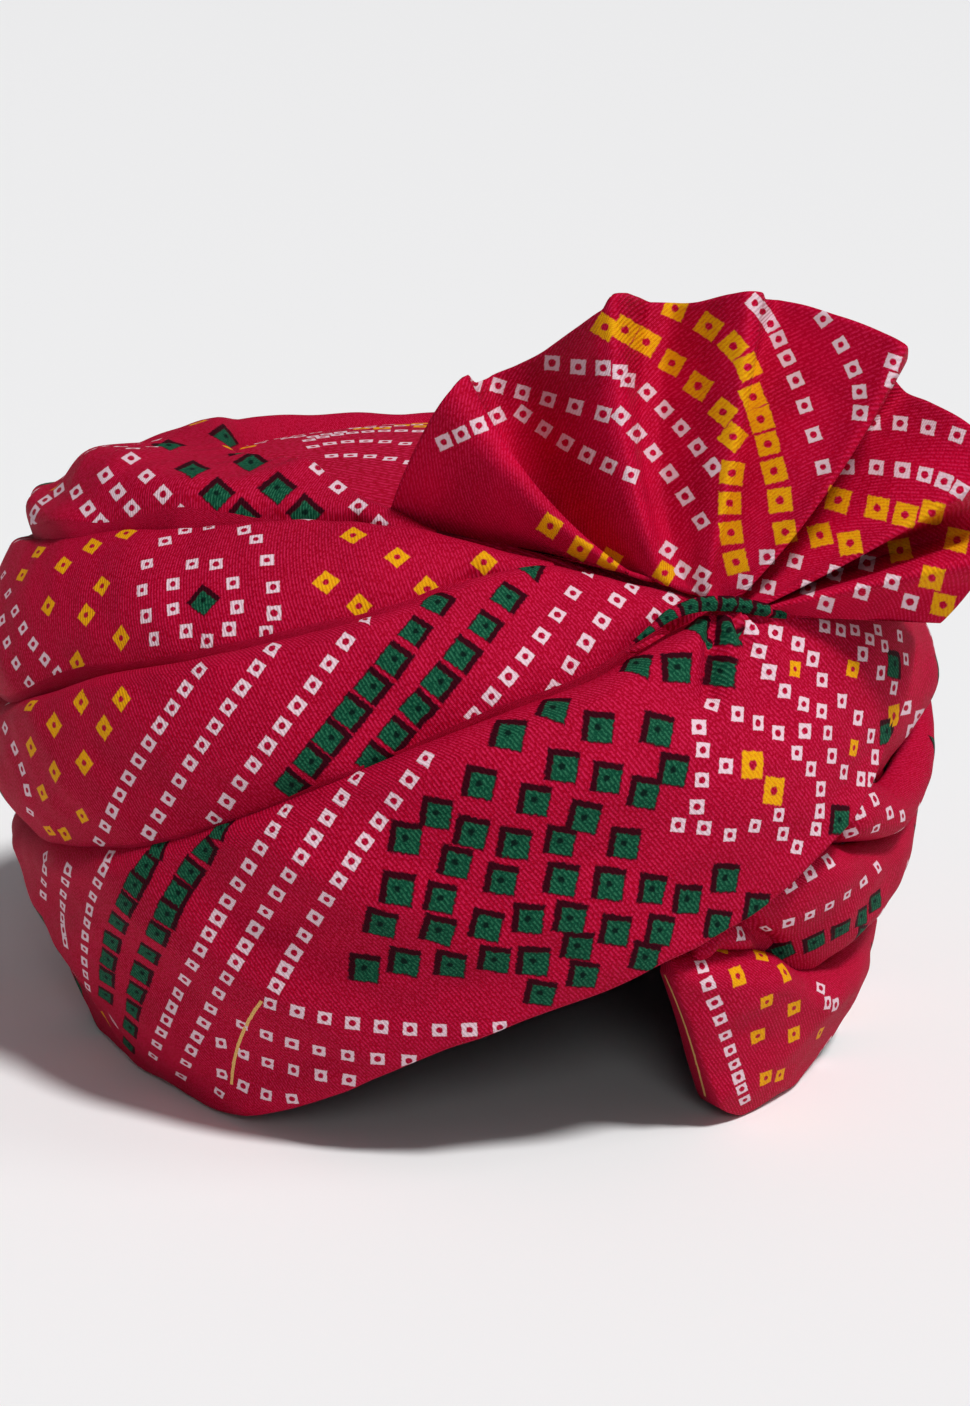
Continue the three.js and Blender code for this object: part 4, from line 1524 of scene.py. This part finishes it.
@dataclass
class Fan(Piece):
    """The pleated fan of cloth that stands on the gather."""

    yaw: float = -12.0
    lean: float = 14.0
    wall: float = 1.1
    slope: float = 0.33
    angle_steps: int = 430
    share_steps: int = 54
    ripple: float = 0.5
    opening: float = 0.65
    folds: ClassVar[list[FoldRow]] = [
        FoldRow(-5, 53, -8, -9, 0),
        FoldRow(3, 59, -1.4, -8.5, 0.5),
        FoldRow(9, 63.5, 7, -8, 0),
        FoldRow(12, 65, 0.6, -7.8, 0),
        FoldRow(15.5, 67, -22, -7.6, 1.5),
        FoldRow(19, 68.6, -20, -7.5, 1.5),
        FoldRow(22.5, 70.5, 0, -7.3, 0.5),
        FoldRow(25.5, 71.5, 9.5, -7.2, -1.5),
        FoldRow(29, 72, 6.2, -7, -1.5),
        FoldRow(35, 71.5, -2.9, -6.2, -0.5),
        FoldRow(42, 70.5, -19, -5.2, 0.5),
        FoldRow(47, 69.5, -28, -4.4, 1),
        FoldRow(50, 69.5, -25, -3.8, 0.5),
        FoldRow(52, 70, 6, -3.5, -2.5),
        FoldRow(54, 70.8, 15, -3.1, -3.5),
        FoldRow(58, 71, 10.6, -2.5, -3),
        FoldRow(66, 71, 2.5, -1.2, -1),
        FoldRow(73, 71.8, -5.8, 0.2, 1),
        FoldRow(77.5, 72, -9.4, 1.1, 2),
        FoldRow(80.3, 71, -4.3, 1.9, 1),
        FoldRow(82, 70.5, 8.8, 2.4, -1.5),
        FoldRow(84, 70, 11.9, 3, -1.5),
        FoldRow(87, 69.5, 8.1, 3.5, -0.5),
        FoldRow(92, 69.2, -4.3, 4.5, 2),
        FoldRow(97, 70.5, -13.8, 6.1, 5),
        FoldRow(101, 71.4, -13, 7.5, 5.5),
        FoldRow(104.5, 72.6, -2.9, 9.4, 4.5),
        FoldRow(107, 73, 6.9, 10.7, 3.5),
        FoldRow(109, 72.8, 10.6, 11.4, 3.5),
        FoldRow(111.5, 70.5, 8.8, 12, 4),
        FoldRow(116, 70.2, -1.4, 13.2, 5),
        FoldRow(122, 70.5, -15.9, 14.8, 6),
        FoldRow(128, 72.5, -27.6, 16.3, 7.5),
        FoldRow(133, 75, -31.2, 17.8, 8),
        FoldRow(136.5, 76, -21.8, 19.2, 7),
        FoldRow(138.3, 76.5, 7.5, 20, 4),
        FoldRow(141, 76.7, 9.4, 20.2, 4),
        FoldRow(152, 77, -3, 21, 3),
        FoldRow(165, 78, -19, 22, 0),
    ]

    def build(self) -> bpy.types.Object:
        """Returns the fan, printed and dressed."""
        rows = SmoothTable(self.folds)
        angle = np.linspace(self.folds[0].angle, self.folds[-1].angle, self.angle_steps)[:, None]
        share = np.linspace(0, 1, self.share_steps)[None]
        middle = self._points(rows, angle, share)
        ahead = self._points(rows, angle, share + 0.01) - self._points(rows, angle, share - 0.01)
        round_it = self._points(rows, angle + 0.4, share) - self._points(rows, angle - 0.4, share)
        normal = np.cross(ahead, round_it)
        normal /= np.maximum(np.linalg.norm(normal, axis=-1, keepdims=True), 1e-9)
        flip = np.sign((normal * self._axes()[2]).sum(axis=-1, keepdims=True).mean())
        normal *= flip
        half = self.wall / 2
        rings = np.concatenate([middle + normal * half, (middle - normal * half)[:, ::-1]], axis=1)
        arc = np.radians(angle) * 60
        flat = np.stack(np.broadcast_arrays(arc, share * 72), axis=-1)
        weave = np.concatenate([flat, flat[:, ::-1]], axis=1)
        made = cloth_object(self.name + "_cloth", rings, weave)
        chart = PrintChart(made.data, self.seed, facing=1.0)
        chart.lay(self.chart)
        chart.finish()
        self.dress(made)
        return made

    def _axes(self) -> tuple[np.ndarray, np.ndarray, np.ndarray]:
        """Returns the fan's own directions: across to the wearer's left, rise, and forward."""
        yaw, lean = math.radians(self.yaw), math.radians(self.lean)
        level = np.array([math.sin(yaw), -math.cos(yaw), 0])
        top = np.array([0, 0, 1.0])
        across = np.array([math.cos(yaw), math.sin(yaw), 0])
        rise = top * math.cos(lean) - level * math.sin(lean)
        forward = level * math.cos(lean) + top * math.sin(lean)
        return across, rise, forward

    def _points(self, rows: SmoothTable, angle: np.ndarray, share: np.ndarray) -> np.ndarray:
        """Works out points on the fan's middle.

        Args:
            rows: The table of fold lines.
            angle: Angles round the gather, in degrees from the wearer's left.
            share: How far out, from 0 at the gather to 1 at the rim.

        Returns:
            Points in the frame, in millimetres.
        """
        names = ("reach", "forward", "start", "bow")
        reach, forward, start, bow = (rows.at(name, angle) for name in names)
        turn = np.radians(angle)
        aside = bow * 4 * share * (1 - share)
        across = -start * (1 - share) + reach * np.cos(turn) * share - aside * np.sin(turn)
        rise = self.slope * start * (1 - share) + reach * np.sin(turn) * share
        rise = rise + aside * np.cos(turn)
        away = np.maximum(share, 0)
        proud = forward * away**self.opening
        swing = Ripples(self.seed, 40, 45).at(*np.broadcast_arrays(angle, share * 72.0))
        proud = proud + self.ripple * swing * away
        root = DOME.point(np.array(GATHER_AZIMUTH), np.array(GATHER_UP), GATHER_OUT)
        axes = self._axes()
        parts = (across, rise, proud)
        return root + sum(p[..., None] * a for p, a in zip(parts, axes))


@dataclass
class GatherRoll(Piece):
    """The small rolled edge of cloth that binds the fan's gather."""

    steps: int = 90
    sides: int = 28
    path: ClassVar[list[RollRow]] = [
        RollRow(5.5, 64.8, 4.6, 0.7),
        RollRow(8.4, 66.2, 6.0, 1.2),
        RollRow(10.6, 67.1, 7.0, 1.5),
        RollRow(14, 67.6, 7.8, 1.7),
        RollRow(17.7, 67.3, 8.0, 1.7),
        RollRow(21.3, 66.3, 8.0, 1.6),
        RollRow(25.2, 65.1, 7.0, 1.2),
        RollRow(29, 64.4, 6.0, 0.8),
    ]

    def build(self) -> bpy.types.Object:
        """Returns the roll, printed and dressed."""
        rows = SmoothTable(self.path)
        azimuth = np.linspace(self.path[0].azimuth, self.path[-1].azimuth, self.steps)
        middle = DOME.point(azimuth, rows.at("up", azimuth), rows.at("out", azimuth))
        radius = rows.at("radius", azimuth)
        taper = np.sin(np.linspace(0.12, math.pi - 0.12, self.steps)) ** 0.35
        way = np.gradient(middle, axis=0)
        way /= np.linalg.norm(way, axis=1, keepdims=True)
        side = np.cross(way, [0, 0, 1.0])
        side /= np.linalg.norm(side, axis=1, keepdims=True)
        over = np.cross(side, way)
        turn = np.linspace(0, 2 * math.pi, self.sides, endpoint=False)
        twist = np.linspace(0, 2.2, self.steps)[:, None] + turn
        grooves = 1 + 0.09 * np.cos(5 * twist) + 0.05 * np.cos(8 * twist + 1)
        wide = (radius * taper)[:, None] * grooves
        rings = middle[:, None] + (
            side[:, None] * (wide * np.cos(turn))[..., None]
            + over[:, None] * (wide * np.sin(turn))[..., None]
        )
        along = np.broadcast_to((azimuth * AZIMUTH_LENGTH)[:, None], wide.shape)
        weave = np.stack([along, np.broadcast_to(turn * 3, wide.shape)], axis=-1)
        made = cloth_object(self.name + "_cloth", rings, weave)
        chart = PrintChart(made.data, self.seed)
        chart.lay(self.chart)
        chart.finish()
        self.dress(made)
        return made


OUTER_TABLE = [
    TurnRow(10.5, 25, 28, 0),
    TurnRow(14, 16.5, 27.5, 1.5),
    TurnRow(17.7, 8, 26.5, 2),
    TurnRow(21, 2.5, 25.5, 2),
    TurnRow(26, 0, 23.5, 2),
    TurnRow(34, 0, 18.5, 2),
    TurnRow(45, 0, 17, 1),
    TurnRow(90, 0, 20, 1),
    TurnRow(135, 0, 25, 1.5),
    TurnRow(180, 0, 28, 2),
    TurnRow(225, 0, 30, 2),
    TurnRow(270, 0, 31, 1.5),
    TurnRow(287, 0, 33, 1),
    TurnRow(305, 0, 37, 1.5),
    TurnRow(316, 0.8, 41, 2),
    TurnRow(327, 5, 46, 2.5),
    TurnRow(334, 9.5, 50, 3),
    TurnRow(341, 14.5, 54, 3.5),
    TurnRow(347, 18.5, 57, 4),
    TurnRow(354, 22, 60, 4.5),
    TurnRow(362, 25.5, 63, 5),
    TurnRow(368, 29, 66, 5),
    TurnRow(373, 31, 68, 5.5),
    TurnRow(379, 33.5, 69.5, 6),
    TurnRow(385, 38.4, 69, 6),
    TurnRow(394, 44.3, 67, 6),
    TurnRow(400, 50, 66.5, 6),
    TurnRow(404, 55, 66.7, 6),
    TurnRow(411, 58, 67.5, 5.5),
    TurnRow(425, 60, 69, 5),
    TurnRow(440, 63, 71, 4.5),
    TurnRow(455, 66, 73, 3.5),
    TurnRow(468, 70, 75, 1.5),
]
SECOND_TABLE = [
    TurnRow(13, 24, 32, -2.5),
    TurnRow(20, 20, 36, -1.5),
    TurnRow(28, 16, 38, 0.5),
    TurnRow(38, 12, 35, 1.5),
    TurnRow(48, 12, 33.5, 1),
    TurnRow(90, 15, 38, 1.5),
    TurnRow(135, 20, 42, 2),
    TurnRow(180, 23, 44, 2),
    TurnRow(225, 25, 46, 2),
    TurnRow(270, 26, 48, 2.5),
    TurnRow(276, 26.5, 49, 2.5),
    TurnRow(289, 28, 53, 2),
    TurnRow(302, 31, 58.5, 2),
    TurnRow(316, 36, 63, 2),
    TurnRow(327, 41, 67, 2),
    TurnRow(339, 48, 71, 2),
    TurnRow(350, 54, 75.5, 2),
    TurnRow(360, 58, 77, 1.5),
    TurnRow(370, 63, 74, 1),
    TurnRow(377, 65, 71, 0.5),
]
THIRD_TABLE = [
    TurnRow(20, 30, 40, -4),
    TurnRow(30, 32, 44, -1.5),
    TurnRow(38, 30, 44, 1.5),
    TurnRow(48, 28, 41, 1.5),
    TurnRow(65, 28, 44, 1.5),
    TurnRow(90, 32, 52, 2),
    TurnRow(135, 37, 57, 2),
    TurnRow(180, 39, 60, 3),
    TurnRow(225, 41, 63, 4.5),
    TurnRow(257, 43, 67, 6),
    TurnRow(279, 45, 72, 5),
    TurnRow(297, 53, 77, 2.5),
    TurnRow(311, 57, 79.5, 2),
    TurnRow(328, 63, 81.5, 2),
    TurnRow(340, 67, 81.5, 2),
    TurnRow(351, 71, 79.5, 1),
    TurnRow(360, 72, 77.5, 0),
]
TOP_TABLE = [
    TurnRow(22, 45, 72, -4),
    TurnRow(36, 38, 75, -1.5),
    TurnRow(50, 36, 77, 1.5),
    TurnRow(65, 38, 78, 2.5),
    TurnRow(90, 46, 79, 2.5),
    TurnRow(135, 51, 80.5, 2),
    TurnRow(180, 54, 82, 1.5),
    TurnRow(225, 57, 84.5, 3.5),
    TurnRow(250, 61, 86.5, 6),
    TurnRow(280, 66, 87.5, 7.5),
    TurnRow(300, 72, 88, 6.5),
    TurnRow(322, 76, 86.5, 4),
    TurnRow(336, 77, 83.5, 1),
    TurnRow(344, 78, 82, -1),
]


class Lamp(NamedTuple):
    """One soft light: its strength, where it stands in degrees, and how wide it is."""

    name: str
    strength: float
    azimuth: float
    elevation: float
    spread: float


@dataclass(frozen=True)
class Studio:
    """The pale floor and the soft light of the photograph."""

    floor_colour: tuple[float, ...] = linear(243, 243, 243)
    sky_colour: tuple[float, ...] = linear(244, 244, 250)
    sky_strength: float = 0.15
    lamps: tuple[Lamp, ...] = (
        Lamp("front_light", 2.7, 26, 58, 9),
        Lamp("low_light", 0.3, -8, 28, 16),
        Lamp("left_light", 0.3, 66, 48, 20),
    )
    floor_size: float = 60.0

    def build(self) -> None:
        """Makes the floor, the sky and the lights."""
        half = self.floor_size / 2
        corners = [(-half, -half, 0), (half, -half, 0), (half, half, 0), (-half, half, 0)]
        mesh = bpy.data.meshes.new("floor")
        mesh.from_pydata(corners, [], [(0, 1, 2, 3)])
        floor = bpy.data.objects.new("floor", mesh)
        bpy.context.scene.collection.objects.link(floor)
        n = NodeMaker("floor_paper")
        shader = n.add("ShaderNodeBsdfPrincipled")
        shader.inputs["Base Color"].default_value = self.floor_colour
        shader.inputs["Roughness"].default_value = 0.9
        output = n.add("ShaderNodeOutputMaterial")
        n.tree.links.new(shader.outputs[0], output.inputs["Surface"])
        mesh.materials.append(n.material)
        world = bpy.data.worlds.new("studio")
        world.use_nodes = True
        sky = world.node_tree.nodes["Background"]
        sky.inputs["Color"].default_value = self.sky_colour
        sky.inputs["Strength"].default_value = self.sky_strength
        bpy.context.scene.world = world
        for lamp in self.lamps:
            self._sun(lamp)
        bpy.context.scene.view_settings.view_transform = "Standard"

    def _sun(self, lamp: Lamp) -> None:
        """Adds one soft light that is the same all over.

        Args:
            lamp: The light's settings.
        """
        data = bpy.data.lights.new(lamp.name, "SUN")
        data.energy = lamp.strength
        data.angle = math.radians(lamp.spread)
        light = bpy.data.objects.new(lamp.name, data)
        a, e = math.radians(lamp.azimuth), math.radians(lamp.elevation)
        way = Vector((math.sin(a) * math.cos(e), -math.cos(a) * math.cos(e), math.sin(e)))
        light.rotation_mode = "QUATERNION"
        light.rotation_quaternion = way.to_track_quat("Z", "Y")
        light.location = way * 2
        bpy.context.scene.collection.objects.link(light)


def pieces() -> list[Piece]:
    """Returns the turban's pieces, from the inside out."""
    body_cloth = PrintedCloth("printed_cloth").make()
    # Painted light: the fan is the same printed cloth in a lighter red, standing in for the light
    # that falls on the fan.
    fan_cloth = PrintedCloth(
        "fan_cloth", ground=linear(192, 0, 46), deep=linear(160, 0, 33)
    ).make()
    lining_cloth = LiningCloth().make()
    body = {"finish": body_cloth, "slot": "printed_cloth"}
    return [
        Lining(
            name="lining",
            finish=lining_cloth,
            slot="lining_cloth",
            seed=11,
            flat=(0.46, 0.52),
            area=0.125,
            held="stretched",
            outer=-9.4,
            inner=-11.2,
            steps=44,
            stations=280,
            print_rows=False,
            hem_table=OUTER_TABLE,
        ),
        Shell(
            name="crown",
            seed=12,
            flat=(0.24, 0.26),
            area=0.045,
            held="stretched",
            rests_on=("lining",),
            chart=CROWN_PRINT,
            **body,
        ),
        Turn(
            name="top_turn",
            facing=0.85,
            seed=13,
            flat=(0.063, 0.61),
            rests_on=("crown",),
            chart=TOP_PRINT,
            table=TOP_TABLE,
            sink_power=6.5,
            creases=(
                Crease(226, 66.5, 318, 73, 6, 5),
                Crease(234, 75, 322, 79, 4.5, 6),
                Crease(236, 85, 312, 86, -4.5, 7),
            ),
            **body,
        ),
        Turn(
            name="third_turn",
            seed=14,
            flat=(0.045, 0.72),
            rests_on=("top_turn",),
            chart=THIRD_PRINT,
            table=THIRD_TABLE,
            creases=(Crease(25, 41.5, 35, 37.5, -5, 3.2),),
            **body,
        ),
        Turn(
            name="second_turn",
            seed=15,
            flat=(0.045, 0.8),
            rests_on=("third_turn",),
            chart=SECOND_PRINT,
            table=SECOND_TABLE,
            creases=(Crease(12, 27, 23, 27.5, 2.5, 4), Crease(16.5, 33, 28.5, 22.5, -5, 2.2)),
            **body,
        ),
        Turn(
            name="outer_turn",
            seed=16,
            flat=(0.058, 1.0),
            rests_on=("second_turn",),
            chart=OUTER_PRINT,
            table=OUTER_TABLE,
            creases=(Crease(376, 68, 372.3, 56, -2.8, 2.2),),
            hem=True,
            face_steps=62,
            **body,
        ),
        Fan(
            name="fan",
            finish=fan_cloth,
            slot="fan_cloth",
            seed=17,
            flat=(0.074, 0.45),
            area=0.0175,
            held="gathered",
            rests_on=("second_turn",),
            chart=FAN_PRINT,
        ),
        GatherRoll(
            name="gather_roll",
            seed=18,
            flat=(0.01, 0.036),
            area=0.00024,
            held="gathered",
            rests_on=("outer_turn",),
            chart=ROLL_PRINT,
            **body,
        ),
    ]


def main() -> None:
    """Builds the camera, the studio and the pieces."""
    logging.basicConfig(level=logging.INFO, format="%(message)s")
    CAMERA.build()
    Studio().build()
    for piece in pieces():
        piece.build()


if __name__ == "__main__":
    main()
